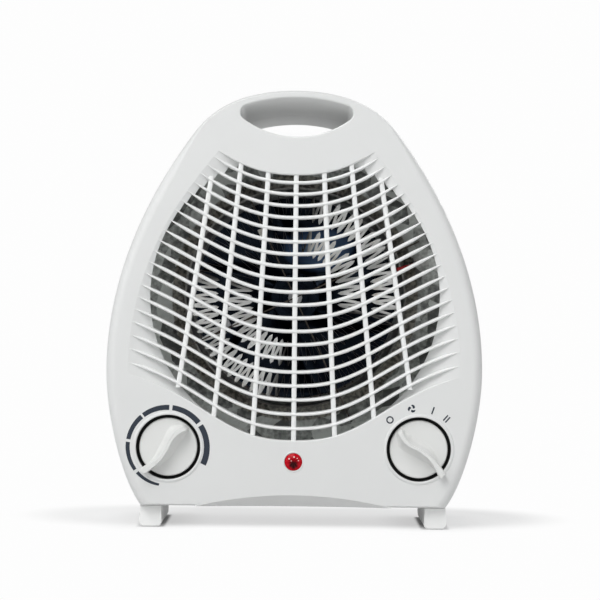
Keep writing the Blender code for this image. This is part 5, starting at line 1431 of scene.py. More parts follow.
@dataclass
class RearCasing:
    """The rear moulding: the back wall, its raised air intake, the screw wells and the handle's rear half."""

    shape: BodyShape = field(default_factory=BodyShape)
    handle: HandleOpening = field(default_factory=HandleOpening)
    lip: float = 1.2 * MM
    handle_sheet: float = 2.2 * MM
    drum_radius: float = 66.0 * MM
    drum_back: float = 57.5 * MM
    drum_round: float = 2.6 * MM
    drum_front: float = 42.0 * MM
    slot_radius: float = 58.0 * MM
    slot_height: float = 4.2 * MM
    slot_pitch: float = 8.0 * MM
    slot_corner: float = 1.4 * MM
    slot_rows: int = 6
    slot_span: tuple[float, float] = (50.0 * MM, 62.0 * MM)
    rib_x: float = 19.0 * MM
    rib_width: float = 3.2 * MM
    well_radius: float = 4.4 * MM
    column_radius: float = 6.0 * MM
    column_set: float = 0.9 * MM
    screw_hole: float = 1.7 * MM
    column_floor: float = 2.6 * MM
    well_places: tuple[tuple[float, float], ...] = (
        (52 * MM, 221 * MM), (100.5 * MM, 110 * MM), (60 * MM, 23.5 * MM),
    )
    motor_post: float = 4.2 * MM
    motor_post_x: float = 20.0 * MM
    motor_post_front: float = 31.8 * MM
    gland_place: tuple[float, float] = (62 * MM, 52 * MM)
    gland_hole: float = 6.3 * MM

    def wells(self) -> list[tuple[float, float]]:
        """The centres of the six screw wells."""
        return [(side * x, z) for x, z in self.well_places for side in (-1, 1)]

    def skin(self) -> bpy.types.Object:
        """The outer and inner skins in one, cut for the handle, the intake, the wells and the bushing."""
        loop = self.shape.loop(40)
        outer = self.shape.rear_rings(0.0, 9, loop)
        inner = self.shape.rear_rings(self.shape.wall, 4, loop)[::-1]
        item = Form.grid(np.concatenate([inner, outer]), columns_close=True, caps=True).mesh("rear_casing")
        front = 12 * MM
        back = 62 * MM
        lens = self.handle.loop(self.lip)
        lens[:, 1] -= self.handle.slope * (front - FACE_Y)
        holes = [
            Form.prism(lens, front, back, self.handle.slope),
            Form.prism(
                circle(self.drum_radius - 0.7 * MM, 0.0, FAN_Z), self.drum_front - 4 * MM, back,
            ),
            Form.prism(circle(self.gland_hole, *self.gland_place, 48), self.drum_front, back),
        ]
        for x, z in self.wells():
            holes.append(Form.prism(circle(self.well_radius + 0.1 * MM, x, z, 40), 10 * MM, back))
        return carve(item, Form.joined(holes))

    def handle_wall(self) -> Form:
        """The wall of the handle's passage; its rear end is rounded and follows the leaning back wall."""
        lens = self.handle
        front = self.shape.parting_y + self.shape.seam

        def loop_at(depth: Any, grow: float) -> np.ndarray:
            """The lens at a depth, which may differ from point to point."""
            flat = lens.loop(grow)
            height = flat[:, 1] - lens.slope * (depth - FACE_Y)
            return np.stack([flat[:, 0], depth + 0 * height, height], axis=1)

        def loop_behind(inward: float, grow: float) -> np.ndarray:
            """The lens where it meets the back wall, moved inwards; found by repeating the step."""
            depth = np.full(len(lens.loop(grow)), 25 * MM)
            for _ in range(10):
                depth = self.shape.back_depth(loop_at(depth, grow)[:, 2]) - inward
            return loop_at(depth, grow)

        sheet = self.handle_sheet
        loops = [loop_at(front, 0.0)]
        loops += [loop_behind(inward, grow) for grow, inward in rounded(self.lip, 7)]
        loops += [loop_behind(1.4 * MM, self.lip + 0.4 * MM), loop_behind(3.4 * MM, sheet)]
        loops.append(loop_at(front, sheet))
        return Form.grid(np.stack(loops), rows_close=True, columns_close=True)

    def screw_column(self, x: float, z: float) -> Form:
        """A column with its screw well: the mouth lies just inside the back wall's skin.

        Args:
            x: The column's x.
            z: The column's z.

        Returns:
            The column.
        """
        turn = np.arange(40) * 2 * math.pi / 40
        front = self.shape.parting_y + self.shape.seam
        seat = front + self.column_floor
        rings = []
        for radius, depth in (
            (self.screw_hole, front), (self.screw_hole, seat), (self.well_radius, seat),
            (self.well_radius, None), (self.column_radius, None), (self.column_radius, front),
        ):
            across = x + radius * np.cos(turn)
            up = z + radius * np.sin(turn)
            if depth is None:
                depth = self.shape.skin_depth(across, up) - self.column_set
            rings.append(np.stack([across, depth + 0 * turn, up], axis=1))
        return Form.grid(np.stack(rings), rows_close=True, columns_close=True)

    def slot(self, left: float, right: float, z: float) -> np.ndarray:
        """The outline of one level slot with rounded corners.

        Args:
            left: Its left end.
            right: Its right end.
            z: Its middle height.

        Returns:
            The outline.
        """
        soft = self.slot_corner
        half = self.slot_height / 2
        turn = np.concatenate([quarter(5) + side * math.pi / 2 for side in range(4)])
        across = np.repeat([right - soft, left + soft, left + soft, right - soft], 5)
        up = np.repeat([z + half - soft, z + half - soft, z - half + soft, z - half + soft], 5)
        return np.stack([across + soft * np.cos(turn), up + soft * np.sin(turn)], axis=1)

    def slots(self) -> list[Form]:
        """Level slots within a circle, parted by two upright ribs."""
        cutters = []
        inner = self.rib_x + self.rib_width / 2
        outer = self.rib_x - self.rib_width / 2
        for row in range(-self.slot_rows, self.slot_rows + 1):
            z = FAN_Z + row * self.slot_pitch
            edge = abs(row) * self.slot_pitch + self.slot_height / 2
            reach = math.sqrt(self.slot_radius**2 - edge**2)
            spans = [(-outer, outer), (inner, reach), (-reach, -inner)]
            if reach < inner + self.slot_height:
                spans = [(-min(reach, outer), min(reach, outer))]
            for left, right in spans:
                cutters.append(Form.prism(self.slot(left, right, z), *self.slot_span))
        return cutters

    def intake(self) -> bpy.types.Object:
        """The raised round plate with its skirt and its slots."""
        wall = self.shape.wall
        rim = [
            (self.drum_radius - inward, self.drum_back - forward)
            for inward, forward in rounded(self.drum_round, 9)[::-1]
        ]
        inside = self.drum_radius - wall
        under = self.drum_back - wall
        profile = [(0.0, self.drum_back), (self.slot_radius, self.drum_back), *rim]
        profile += [
            (self.drum_radius, self.drum_front), (inside, self.drum_front),
            (inside, under - 1 * MM), (inside - 1 * MM, under), (0.0, under),
        ]
        plate = Form.turned(profile, 144, 0.0, FAN_Z, closed=False).mesh("air_intake")
        return carve(plate, Form.joined(self.slots()))

    def motor_posts(self) -> list[Form]:
        """The two posts that carry the motor, each with its screw hole."""
        back = self.drum_back - 2 * MM
        profile = np.array([
            (self.screw_hole, self.motor_post_front), (self.motor_post, self.motor_post_front),
            (self.motor_post + 0.4 * MM, back), (self.screw_hole, back),
        ])
        places = (-self.motor_post_x, self.motor_post_x)
        return [Form.turned(profile, 40, x, FAN_Z) for x in places]

    def build(self) -> None:
        """Makes the moulding's pieces and dresses them."""
        columns = [self.screw_column(x, z) for x, z in self.wells()] + self.motor_posts()
        for item, angle in (
            (self.skin(), 28), (self.intake(), 40), (self.handle_wall().mesh("rear_handle_wall"), 50),
            (Form.joined(columns).mesh("screw_columns"), 50),
        ):
            dress(item, PLASTIC, stands_for=("rear_shell",), angle=angle)


# Feet


@dataclass
class Foot:
    """A long foot with rounded lower edges, a raised rear end and two hooked prongs."""

    side: int
    x: float = 82.8 * MM
    top_z: float = 12.4 * MM
    top_width: float = 12.0 * MM
    low_width: float = 12.8 * MM
    corner: float = 2.6 * MM
    front_y: float = -46.0 * MM
    rear_y: float = 34.0 * MM
    front_round: float = 1.2 * MM
    rear_rise: float = 3.0 * MM
    prong_places: tuple[float, float] = (-26.0 * MM, 18.0 * MM)
    prong_half: float = 3.0 * MM
    prong_depth: float = 4.0 * MM
    hook: float = 1.4 * MM
    neck: float = 2.9 * MM

    def beam(self) -> Form:
        """The foot's beam: cross-sections with rounded lower corners, carried from front to rear."""
        stations = [(self.front_y + inward, low) for inward, low in rounded(self.front_round, 6)]
        stations.append(((self.front_y + self.rear_y) / 2, 0.0))
        stations += [(self.rear_y - inward, low) for low, inward in rounded(self.rear_rise, 6)]
        turn = np.linspace(math.pi, 1.5 * math.pi, 8)
        rings = []
        for y, low in stations:
            half = self.low_width / 2
            x = np.concatenate([[-self.top_width / 2], self.corner - half + self.corner * np.cos(turn)])
            z = np.concatenate([[self.top_z], low + self.corner + self.corner * np.sin(turn)])
            x = np.concatenate([x, -x[::-1]])
            z = np.concatenate([z, z[::-1]])
            rings.append(np.stack([self.side * self.x + x, y + 0 * x, z], axis=1))
        return Form.grid(np.stack(rings), columns_close=True, caps=True)

    def prong(self, y: float) -> Form:
        """A hooked prong that snaps through the casing's underside.

        Args:
            y: Its middle.

        Returns:
            The prong.
        """
        half = self.prong_half
        neck = self.top_z + self.neck
        right = [(half, self.top_z - 1 * MM), (half, neck), (half + self.hook, neck)]
        right.append((half, neck + 2 * self.hook))
        outline = np.array(right + [(-x, z) for x, z in right[::-1]])
        outline[:, 0] += self.side * self.x
        return Form.prism(outline, y - self.prong_depth, y + self.prong_depth)

    def build(self) -> None:
        """Makes the foot and dresses it."""
        name = "left" if self.side < 0 else "right"
        whole = Form.joined([self.beam(), *[self.prong(y) for y in self.prong_places]])
        item = whole.mesh(f"{name}_foot")
        dress(item, FOOT_LIT_PLASTIC, stands_for=(f"foot_{name}",), angle=40)


# Controls


@dataclass
class ControlKnob:
    """A control knob: a disc with a curved grip ridge, its pointer end and the nib that laps over the rim."""

    name: str
    body: str
    node: str
    x: float
    rest: float
    radius: float = 16.8 * MM
    front_y: float = -50.0 * MM
    back_y: float = -45.6 * MM
    hub_back_y: float = -42.3 * MM
    hub_radius: float = 5.3 * MM
    bore: float = 3.3 * MM
    face_sheet: float = 1.6 * MM
    edge: float = 0.9 * MM
    top_y: float = -57.5 * MM
    pointer_radius: float = 16.2 * MM
    nib_radius: float = 20.4 * MM
    nib_low_y: float = -53.2 * MM
    width: float = 2.0 * MM
    end_width: float = 3.7 * MM
    flank: float = 6.4 * MM
    pointer_fall: float = 1.6 * MM
    pointer_sway: float = 2.1 * MM
    nib_sway: float = 1.2 * MM
    crest: float = 0.3 * MM
    sunk: float = 0.4 * MM

    def disc(self) -> Form:
        """The disc with its softened rim, hub and bore."""
        rim = [
            (self.radius - inward, self.front_y + back) for inward, back in rounded(self.edge, 6)[::-1]
        ]
        inside = self.front_y + self.face_sheet
        profile = [(0.0, self.front_y), (0.6 * self.radius, self.front_y), *rim]
        profile += [
            (self.radius, self.back_y), (self.hub_radius, self.back_y), (self.hub_radius, self.hub_back_y),
            (self.bore, self.hub_back_y), (self.bore, inside), (0.0, inside),
        ]
        return Form.turned(profile, 96, self.x, KNOB_Z, closed=False)

    def ridge(self) -> Form:
        """The ridge with its nib. Its line sways by sin(pi t) and its flanks fall by (1 - v)^3.6.

        Past the disc's rim its base lies at the nib's own depth, clear of the casing.

        Returns:
            The ridge, from the nib's end to the pointer's end.
        """
        place = np.linspace(-self.nib_radius, self.pointer_radius - 0.02 * MM, 150)[:, None]
        turn = place / self.radius
        sway = -np.where(turn > 0, self.pointer_sway, self.nib_sway) * np.sin(math.pi * turn)
        from_tip = self.pointer_radius - place
        share = np.sqrt(np.clip(from_tip / self.pointer_fall, 0, 1))
        low_top = self.front_y - self.sunk
        top_y = low_top - (low_top - self.top_y) * share
        width = self.width + (self.end_width - self.width) * np.clip(turn * turn, 0, 1)
        half = width / 2 * (0.6 + 0.4 * share)
        spread = np.where(turn > 0, 1.0, np.cos(math.pi / 2 * np.clip(-turn / 0.85, 0, 1)))
        past = place < self.edge - self.radius
        reach = np.where(past, 0.3 * MM, 0.5 * MM) + self.flank * spread
        reach = np.minimum(reach, 0.3 * MM + from_tip)
        low_y = np.where(past, self.nib_low_y, self.front_y + self.sunk)
        steps = np.linspace(0, 1, 16)[None, :] ** 1.5
        fall = 1 - (1 - steps) ** 3.6
        offset = half - self.crest + self.crest * np.clip(steps / 0.04, 0, 1) + reach * steps
        depth = top_y + (low_y - top_y) * fall
        across = np.concatenate([-offset[:, ::-1], offset], axis=1) + sway
        y = np.concatenate([depth[:, ::-1], depth], axis=1)
        along_x, along_z = math.sin(self.rest), math.cos(self.rest)
        points = np.stack([
            self.x + along_x * place + along_z * across, y, KNOB_Z + along_z * place - along_x * across,
        ], axis=2)
        return Form.grid(points, columns_close=True, caps=True)

    def build(self) -> None:
        """Makes the knob and dresses it."""
        item = Form.joined([self.disc(), self.ridge()]).mesh(self.name)
        dress(item, KNOB_PLASTIC, self.body, stands_for=(self.node,), angle=42)


class DialMark(Enum):
    """The printed marks of the selector, each with the angle at which it stands."""

    OFF = -44.8
    FAN = -10.3
    LOW = 19.3
    HIGH = 41.5


@dataclass
class DialPrints:
    """The printed marks round both controls: a growing scale and the selector's four signs."""

    proud: float = 0.03 * MM
    sunk: float = 0.05 * MM
    mark_radius: float = 24.0 * MM
    scale_x: float = -73.3 * MM
    arc_inner: float = 21.5 * MM
    arc_thin: float = 1.25 * MM
    arc_thick: float = 3.5 * MM
    ring: tuple[float, float] = (1.38 * MM, 2.2 * MM)
    sign_bore: float = 0.5 * MM
    sign_reach: float = 1.9 * MM
    one_stroke: tuple[float, float] = (4.4 * MM, 0.85 * MM)
    two_strokes: tuple[float, float] = (4.1 * MM, 0.8 * MM)
    stroke_aside: float = 0.83 * MM
    arcs: tuple[tuple[float, float], ...] = (
        (191, 229), (234, 277), (281, 320), (323, 363), (367.5, 412), (417, 475),
    )

    def patch(self, x: np.ndarray, z: np.ndarray) -> Form:
        """A printed patch from grids of x and z."""
        front = np.stack([x, FACE_Y - self.proud + 0 * x, z], axis=2)
        return Form.slab(front, front + (0, self.proud + self.sunk, 0))

    def arc(self, start: float, end: float) -> Form:
        """One stretch of the scale, which grows thicker clockwise.

        Args:
            start: Where it starts, in degrees clockwise from the top.
            end: Where it ends.

        Returns:
            The stretch.
        """
        turn = np.radians(np.linspace(start, end, 28))[:, None]
        grown = (np.degrees(turn) - self.arcs[0][0]) / (self.arcs[-1][1] - self.arcs[0][0])
        thick = self.arc_thin + (self.arc_thick - self.arc_thin) * grown**0.55
        radius = self.arc_inner + thick * np.linspace(0, 1, 3)[None, :]
        return self.patch(self.scale_x + radius * np.sin(turn), KNOB_Z + radius * np.cos(turn))

    def stroke(self, centre: tuple[float, float], slant: float, length: float, width: float) -> Form:
        """A straight stroke.

        Args:
            centre: Its centre.
            slant: Its lean from upright, clockwise, in radians.
            length: Its length.
            width: Its width.

        Returns:
            The stroke.
        """
        along = np.linspace(-length / 2, length / 2, 2)[:, None]
        across = np.linspace(-width / 2, width / 2, 2)[None, :]
        x = centre[0] + along * math.sin(slant) + across * math.cos(slant)
        z = centre[1] + along * math.cos(slant) - across * math.sin(slant)
        return self.patch(x, z)

    def fan_blade(self, x: float, z: float, number: int) -> Form:
        """One blade of the fan sign: its width and its angle change along the radius.

        Args:
            x: The sign's centre.
            z: The sign's centre.
            number: Which blade.

        Returns:
            The blade.
        """
        along = np.linspace(0, 1, 15)[:, None]
        across = np.linspace(-1, 1, 7)[None, :]
        radius = self.sign_bore + self.sign_reach * along
        width = 0.78 * np.sqrt(np.clip(along * (2.05 - along), 0, 1)) * np.sqrt(1.02 - along**5)
        turn = 0.4 + number * 2 * math.pi / 3 + 0.9 * along + width * across
        return self.patch(x + radius * np.cos(turn), z + radius * np.sin(turn))

    def mark(self, kind: DialMark) -> Form:
        """The mark of one setting.

        Args:
            kind: Which mark.

        Returns:
            Its print.
        """
        angle = math.radians(kind.value)
        x = KNOB_X + self.mark_radius * math.sin(angle)
        z = KNOB_Z + self.mark_radius * math.cos(angle)
        if kind is DialMark.OFF:
            turn = np.linspace(0, 2 * math.pi, 49)[:, None]
            radius = np.array([self.ring])
            return self.patch(x + radius * np.cos(turn), z + radius * np.sin(turn))
        if kind is DialMark.FAN:
            return Form.joined([self.fan_blade(x, z, number) for number in range(3)])
        if kind is DialMark.LOW:
            return self.stroke((x, z), angle, *self.one_stroke)
        strokes = []
        for aside in (-self.stroke_aside, self.stroke_aside):
            place = (x + aside * math.cos(angle), z - aside * math.sin(angle))
            strokes.append(self.stroke(place, angle, *self.two_strokes))
        return Form.joined(strokes)

    def build(self) -> None:
        """Prints both controls' marks."""
        scale = Form.joined([self.arc(start, end) for start, end in self.arcs])
        dress(scale.mesh("thermostat_scale"), INK)
        signs = Form.joined([self.mark(kind) for kind in DialMark])
        dress(signs.mesh("selector_marks"), INK)


@dataclass
class PilotLamp:
    """The red lens of the pilot lamp, with its collar behind the face."""

    radius: float = 5.0 * MM
    dome: float = 1.6 * MM
    collar_radius: float = 6.8 * MM
    collar_y: float = -49.4 * MM
    collar_sheet: float = 1.2 * MM

    def build(self) -> None:
        """Makes the lens: a ball's cap of the dome's height on a short skirt."""
        ball = (self.radius**2 + self.dome**2) / (2 * self.dome)
        radius = np.linspace(0, self.radius, 14)
        cap = FACE_Y - self.dome + ball - np.sqrt(ball**2 - radius**2)
        profile = list(zip(radius, cap))
        back = self.collar_y + self.collar_sheet
        profile += [
            (self.radius, self.collar_y), (self.collar_radius, self.collar_y),
            (self.collar_radius, back), (0.0, back),
        ]
        item = Form.turned(profile, 72, 0.0, LAMP_Z, closed=False).mesh("pilot_lens")
        dress(item, LampRed("lamp_red", self.radius), stands_for=("lamp_lens",), angle=40)


# Fan, heating element and small hardware


@dataclass
class Fan:
    """The fan: a cupped hub with a boss, and six pitched, curved blades."""

    front_y: float = -9.0 * MM
    depth: float = 17.0 * MM
    hub_radius: float = 15.0 * MM
    wall: float = 1.6 * MM
    boss_radius: float = 4.6 * MM
    bore: float = 1.9 * MM
    tip_radius: float = 60.0 * MM
    blades: int = 6
    lap: float = math.radians(4)
    sweep: float = math.radians(18)
    sheet: float = 1.3 * MM
    bow: float = 1.4 * MM
    hub_round: float = 2.0 * MM
    groove: tuple[tuple[float, float], ...] = (
        (7.6 * MM, 0.0), (8.0 * MM, 0.45 * MM), (9.2 * MM, 0.45 * MM), (9.6 * MM, 0.0),
    )

    def hub(self) -> Form:
        """The cup with its rounded front edge, a shallow ring groove and its boss."""
        back = self.front_y + self.depth
        outer = self.hub_radius
        inner = outer - self.wall
        cup_y = self.front_y + 1.5 * self.wall
        boss_y = back - 2 * self.wall
        profile = [(self.bore, self.front_y)]
        profile += [(radius, self.front_y + depth) for radius, depth in self.groove]
        profile += [(outer - inward, self.front_y + y) for inward, y in rounded(self.hub_round, 7)[::-1]]
        profile += [
            (outer, back), (inner, back), (inner, cup_y), (self.boss_radius, cup_y),
            (self.boss_radius, boss_y), (self.bore, boss_y),
        ]
        return Form.turned(profile, 72, 0.0, FAN_Z)

    def blade(self, number: int) -> Form:
        """One blade: its angle and depth run with the chord, and its edges are thinned.

        Args:
            number: Which blade.

        Returns:
            The blade.
        """
        pitch = 2 * math.pi / self.blades
        reach = np.linspace(0, 1, 28)[:, None]
        root = self.hub_radius - self.wall / 2
        radius = root + (self.tip_radius - root) * reach
        chord = np.linspace(0, 1, 20)[None, :]
        corner = np.sqrt(1 - 0.12 * np.clip((reach - 0.9) / 0.1, 0, 1) ** 2)
        width = (pitch + self.lap) * corner
        turn = number * pitch + self.sweep * reach + width * (chord - 0.5)
        span = (self.depth - 2 * self.sheet) * (1 - 0.28 * reach)
        middle = self.front_y + self.depth / 2
        y = middle + span * (chord - 0.5) - self.bow * np.sin(chord * math.pi)
        edge = np.clip(np.minimum(chord, 1 - chord) / 0.08, 0.35, 1) * np.clip((1 - reach) / 0.04, 0.4, 1)
        thick = self.sheet / 2 * edge
        x = radius * np.cos(turn)
        z = FAN_Z + radius * np.sin(turn)
        front = np.stack([x, y - thick, z], axis=2)
        return Form.slab(front, np.stack([x, y + thick, z], axis=2))

    def build(self) -> None:
        """Makes the fan and dresses it."""
        whole = Form.joined([self.hub(), *[self.blade(number) for number in range(self.blades)]])
        item = whole.mesh("fan_wheel")
        dress(item, FAN_PLASTIC, "fan", stands_for=("fan_impeller",), angle=45)


@dataclass
class HeatingRibbon:
    """A ring of folded heating ribbon, threaded through the crossed boards."""

    name: str
    node: str
    inner: float
    outer: float
    waves: int
    front_y: float = -30.0 * MM
    rear_y: float = -25.5 * MM
    board_turn: float = math.radians(25)
    face_turn: float = math.radians(33)
    full_twist: float = math.radians(84)
    sharpness: float = 0.985
    width: float = 1.6 * MM
    sheet: float = 0.12 * MM

    def strip(self) -> Form:
        """The ribbon: a zigzag with rounded ends, face-on in two opposite quarters and edge-on in the others.

        The distance from the centre runs with asin(s cos p) of the phase p, where the sharpness s, a little
        under 1, turns the ends round.
        """
        phase = np.linspace(0, self.waves * 2 * math.pi, self.waves * 18, endpoint=False)
        sway = np.arcsin(self.sharpness * np.cos(phase)) / math.asin(self.sharpness)
        turn = self.board_turn + phase / self.waves
        radius = (self.outer + self.inner) / 2 + (self.outer - self.inner) / 2 * sway
        y = (self.front_y + self.rear_y) / 2 + (self.front_y - self.rear_y) / 2 * sway
        path = np.stack([radius * np.cos(turn), y, FAN_Z + radius * np.sin(turn)], axis=1)
        along = np.roll(path, -1, axis=0) - np.roll(path, 1, axis=0)
        along /= np.linalg.norm(along, axis=1)[:, None]
        flat = np.cross(along, (0.0, 1.0, 0.0))
        flat /= np.linalg.norm(flat, axis=1)[:, None]
        deep = np.cross(along, flat)
        face = smooth(0.5 + 1.8 * np.cos(2 * (turn - self.face_turn)))
        twist = ((1 - face) * self.full_twist)[:, None]
        wide = (flat * np.cos(twist) + deep * np.sin(twist)) * self.width / 2
        thin = np.cross(along, wide)
        thin = thin / np.linalg.norm(thin, axis=1)[:, None] * self.sheet / 2
        signs = ((1, 1), (-1, 1), (-1, -1), (1, -1))
        corners = np.stack([path + across * wide + over * thin for across, over in signs], axis=1)
        return Form.grid(corners, rows_close=True, columns_close=True)

    def build(self) -> None:
        """Makes the ribbon and dresses it."""
        dress(self.strip().mesh(self.name), RIBBON, stands_for=(self.node,), angle=30)


@dataclass
class ShellScrew:
    """One of the screws that hold the two mouldings: a pan head with a cross recess on a threaded shank.

    The cross recess is given by its half length, its half width and its depth.
    """

    number: int
    x: float
    z: float
    seat_y: float = 0.9 * MM
    head_radius: float = 3.2 * MM
    head_height: float = 1.9 * MM
    shank_radius: float = 1.3 * MM
    head_round: float = 1.1 * MM
    length: float = 16.0 * MM
    thread_pitch: float = 1.1 * MM
    thread_depth: float = 0.3 * MM
    cross: tuple[float, float, float] = (1.75 * MM, 0.42 * MM, 1.1 * MM)

    def build(self) -> None:
        """Makes the screw and dresses it."""
        seat = self.seat_y
        top = seat + self.head_height
        rounds = rounded(self.head_round, 6)[::-1]
        rim = [(self.head_radius - inward, top - down) for inward, down in rounds]
        profile = [(0.0, top), (1.2 * MM, top), *rim, (self.head_radius, seat)]
        for turn in range(int(self.length / self.thread_pitch) - 2):
            y = seat - 0.6 * MM - turn * self.thread_pitch
            valley = (self.shank_radius - self.thread_depth, y - self.thread_pitch / 2)
            profile += [(self.shank_radius, y), valley]
        profile += [(0.9 * MM, seat - self.length + 1.2 * MM), (0.0, seat - self.length)]
        screw = Form.turned(profile, 28, self.x, self.z, closed=False)
        item = screw.mesh(f"casing_screw_{self.number}")
        long, short, deep = self.cross
        arm = np.array([(long, short), (short, short), (short, long)])
        turns = (((1, 0), (0, 1)), ((0, 1), (-1, 0)), ((-1, 0), (0, -1)), ((0, -1), (1, 0)))
        cross = np.concatenate([arm @ np.array(turn) for turn in turns])
        carve(item, Form.prism(cross + (self.x, self.z), top - deep, top + 1 * MM))
        dress(item, STEEL, stands_for=(f"shell_screw_{self.number}",), angle=32)


@dataclass
class CordBushing:
    """The rubber bushing of the cord's inlet in the back wall."""

    x: float = 62.0 * MM
    z: float = 52.0 * MM
    flange_y: float = 50.3 * MM
    reach: float = 3.0 * MM
    radius: float = 6.0 * MM
    flange_radius: float = 8.0 * MM
    bore: float = 3.4 * MM
    inside_y: float = 43.4 * MM

    def build(self) -> None:
        """Makes the bushing: a flange with a rounded rim and a flared mouth."""
        back = self.flange_y + self.reach
        low = self.flange_y
        side = self.flange_radius
        collar = self.radius
        profile = [
            (self.bore, self.inside_y), (self.bore, back - 0.9 * MM), (self.bore + 0.2 * MM, back - 0.3 * MM),
            (self.bore + 0.7 * MM, back), (collar - 1.2 * MM, back), (collar - 0.4 * MM, back - 0.25 * MM),
            (collar + 0.2 * MM, back - 1.0 * MM), (side - 0.6 * MM, low + 1.5 * MM),
            (side - 0.15 * MM, low + 1.1 * MM), (side, low + 0.6 * MM), (side, low), (collar, low),
            (collar, self.inside_y),
        ]
        item = Form.turned(profile, 56, self.x, self.z).mesh("cord_bushing")
        dress(item, RUBBER, stands_for=("cord_gland",), angle=40)


class CarriedPieces:
    """The frame's own pieces that stay as they are and only get a finish."""

    def __init__(self) -> None:
        """Sets which nodes wear each finish."""
        brass = PlatedSteel("spindle_metal", (0.62, 0.55, 0.38), 0.25)
        ceramic = SpeckledSolid("ceramic", (0.74, 0.72, 0.66), (0.55, 0.52, 0.46), 0.55)
        switch = SpeckledSolid("switch_plastic", (0.045, 0.045, 0.05), (0.12, 0.12, 0.12), 0.48)
        lead = SpeckledSolid("red_lead", (0.42, 0.015, 0.02), (0.55, 0.08, 0.08), 0.4)
        lamp = SpeckledSolid("lamp_white", (0.76, 0.75, 0.72), (0.60, 0.59, 0.56), 0.4)
        screws = [f"{control}_screw_{number}" for control in ("thermostat", "selector") for number in (1, 2)]
        screws += [f"{owner}_screw_{side}" for owner in ("motor", "duct") for side in ("left", "right")]
        metal = ["thermal_cutout", "motor_shaft", "motor_bracket_front", "motor_bracket_rear", "fan_clip"]
        self.wearers: list[tuple[Finish, list[str]]] = [
            (GalvanisedSheet("galvanised_sheet", 72.5 * MM), ["air_duct"]),
            (MicaBoard("mica"), ["mica_board_long", "mica_board_cross"]),
            (ceramic, ["thermal_fuse", "thermostat_body"]),
            (lead, ["heater_lead"]),
            (switch, ["selector_switch_body"]),
            (brass, ["thermostat_spindle", "selector_spindle"]),
            (lamp, ["lamp_body"]),
            (StackedSheets("lamination"), ["motor_stator", "motor_rotor"]),
            (WoundCopper("copper_winding"), ["motor_coil"]),
            (STEEL, metal + screws),
        ]

    def build(self) -> None:
        """Dresses every carried-over node."""
        for finish, names in self.wearers:
            for name in names:
                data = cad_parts[name].data
                data.materials.clear()
                data.materials.append(finish.material())
                LOG.info("%s: carried over, wears %s", name, finish.name)


# Studio


@dataclass(frozen=True)
class SoftLight:
    """A square area light that looks at the middle of the heater, with its power in watts."""

    name: str
    place: tuple[float, float, float]
    size: float
    power: float

    def build(self) -> None:
        """Hangs the light."""
        data = bpy.data.lights.new(self.name, "AREA")
        data.size = self.size
        data.energy = self.power
        lamp = bpy.data.objects.new(self.name, data)
        bpy.context.scene.collection.objects.link(lamp)
        away = Vector(self.place) - Vector((0.0, 0.0, 0.12))
        turned = away.to_track_quat("Z", "Y").to_matrix().to_4x4()
        lamp.matrix_world = Matrix.Translation(self.place) @ turned


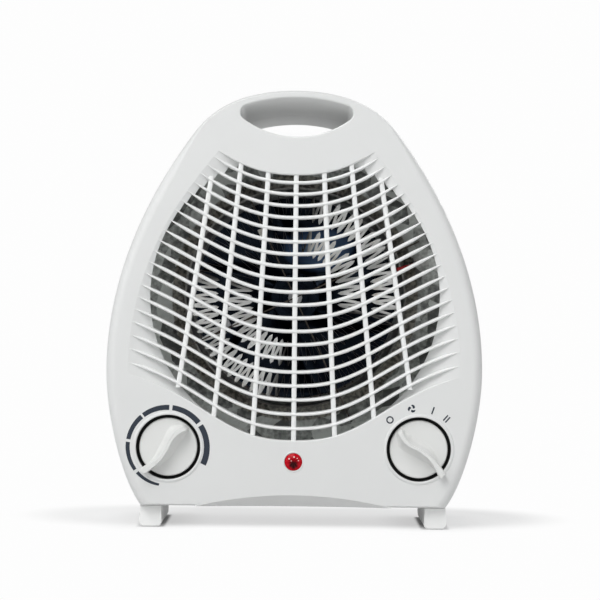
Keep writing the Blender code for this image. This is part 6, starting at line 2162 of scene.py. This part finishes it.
@dataclass
class Studio:
    """The floor, the lights, the world and the camera of a product photograph.

    The floor is shaded within fade_from to fade_to of a box under the heater, and more round each foot.
    """

    camera_x: float = 2.9 * MM
    camera_z: float = 132.7 * MM
    plane_y: float = -45.0 * MM
    distance: float = 1.4
    frame_width: float = 349.0 * MM
    sensor: float = 36.0
    roll: float = math.radians(0.6)
    floor_half: float = 4.0
    box_half: float = 85.0 * MM
    box_y: float = 30.0 * MM
    fade_from: float = 45.0 * MM
    fade_to: float = 90.0 * MM
    foot_place: tuple[float, float] = (82.8 * MM, -6.0 * MM)
    foot_half: tuple[float, float] = (6.4 * MM, 39.2 * MM)
    backdrop: Colour = (0.985, 0.985, 0.985)
    ambient: Colour = (0.97, 0.985, 1.0)
    ambient_strength: float = 0.34
    lights: tuple[SoftLight, ...] = (
        SoftLight("key_light", (-0.65, -1.2, 1.6), 1.3, 27.0),
        SoftLight("fill_light", (1.2, -1.0, 0.6), 1.2, 3.6),
        SoftLight("side_light", (-1.23, -0.96, 0.46), 0.55, 2.6),
        SoftLight("back_light", (0.9, 1.5, 1.1), 1.2, 11.0),
    )

    def floor(self) -> None:
        """A pale floor that is white to the camera but keeps a soft shadow near the object."""
        ends = (-self.floor_half, self.floor_half)
        item = Form.grid(np.array([[(x, y, 0.0) for x in ends] for y in ends])).mesh("floor")
        bench = NodeBench(bpy.data.materials.new("floor_paper"))
        direct = bench.node("ShaderNodeLightPath", output="Is Camera Ray")
        glossy = bench.node("ShaderNodeLightPath", output="Is Glossy Ray")
        seen = (direct + glossy).step(0.0, 1.0)
        y = bench.axis(1)
        side = bench.axis(0).size()
        beside = (side - self.box_half).at_least(0.0)
        far = length(beside, y - self.box_y).step(self.fade_from, self.fade_to)
        across = ((side - self.foot_place[0]).size() - self.foot_half[0]).at_least(0.0)
        along = ((y - self.foot_place[1]).size() - self.foot_half[1]).at_least(0.0)
        from_foot = length(across, along)
        near = from_foot.step(0.03, 0.0) * 0.12 + from_foot.step(0.003, 0.0004) * 0.5
        share = seen * (0.65 + far * 0.35 - near)
        paper = bench.node("ShaderNodeBsdfDiffuse", None, {"Color": (0.7, 0.7, 0.7)})
        white = bench.node("ShaderNodeEmission", None, {"Color": self.backdrop, "Strength": 1.0})
        mixed = bench.node("ShaderNodeMixShader", None, {0: share, 1: paper, 2: white})
        item.data.materials.append(bench.end(mixed, "ShaderNodeOutputMaterial"))

    def world(self) -> None:
        """A white background for the camera and through openings, and a dimmer light from all round."""
        bench = NodeBench(bpy.data.worlds.new("studio"))
        direct = bench.node("ShaderNodeLightPath", output="Is Camera Ray")
        through = bench.node("ShaderNodeLightPath", output="Is Transmission Ray")
        links = {"Color": self.ambient, "Strength": self.ambient_strength}
        ambient = bench.node("ShaderNodeBackground", None, links)
        white = bench.node("ShaderNodeBackground", None, {"Color": self.backdrop})
        mixed = bench.node("ShaderNodeMixShader", None, {0: direct.at_least(through), 1: ambient, 2: white})
        bpy.context.scene.world = bench.end(mixed, "ShaderNodeOutputWorld")

    def camera(self) -> None:
        """A long lens square to the front, level with the grille and turned by a slight roll."""
        data = bpy.data.cameras.new("camera")
        data.sensor_width = self.sensor
        data.lens = self.sensor * self.distance / self.frame_width
        data.clip_end = 20.0
        camera = bpy.data.objects.new("camera", data)
        bpy.context.scene.collection.objects.link(camera)
        place = Matrix.Translation((self.camera_x, self.plane_y - self.distance, self.camera_z))
        level = Matrix.Rotation(math.pi / 2, 4, "X")
        camera.matrix_world = place @ level @ Matrix.Rotation(self.roll, 4, "Z")
        bpy.context.scene.camera = camera

    def build(self) -> None:
        """Sets the stage."""
        self.floor()
        self.world()
        for light in self.lights:
            light.build()
        self.camera()
        bpy.context.scene.view_settings.view_transform = "Standard"


def main() -> None:
    logging.basicConfig(level=logging.INFO, format="%(name)s: %(message)s")
    FrontCasing().build()
    rear = RearCasing()
    rear.build()
    for side in (-1, 1):
        Foot(side).build()
    ControlKnob("thermostat_dial", "thermostat", "thermostat_knob", -KNOB_X, math.radians(44)).build()
    ControlKnob("selector_dial", "selector", "selector_knob", KNOB_X, math.radians(-45)).build()
    DialPrints().build()
    PilotLamp().build()
    Fan().build()
    HeatingRibbon("outer_ribbon", "heating_wire_outer", 46.0 * MM, 60.5 * MM, 72).build()
    HeatingRibbon("inner_ribbon", "heating_wire_inner", 26.0 * MM, 40.5 * MM, 48).build()
    for number, (x, z) in enumerate(rear.wells(), 1):
        ShellScrew(number, x, z).build()
    CordBushing().build()
    CarriedPieces().build()
    Studio().build()


if __name__ == "__main__":
    main()
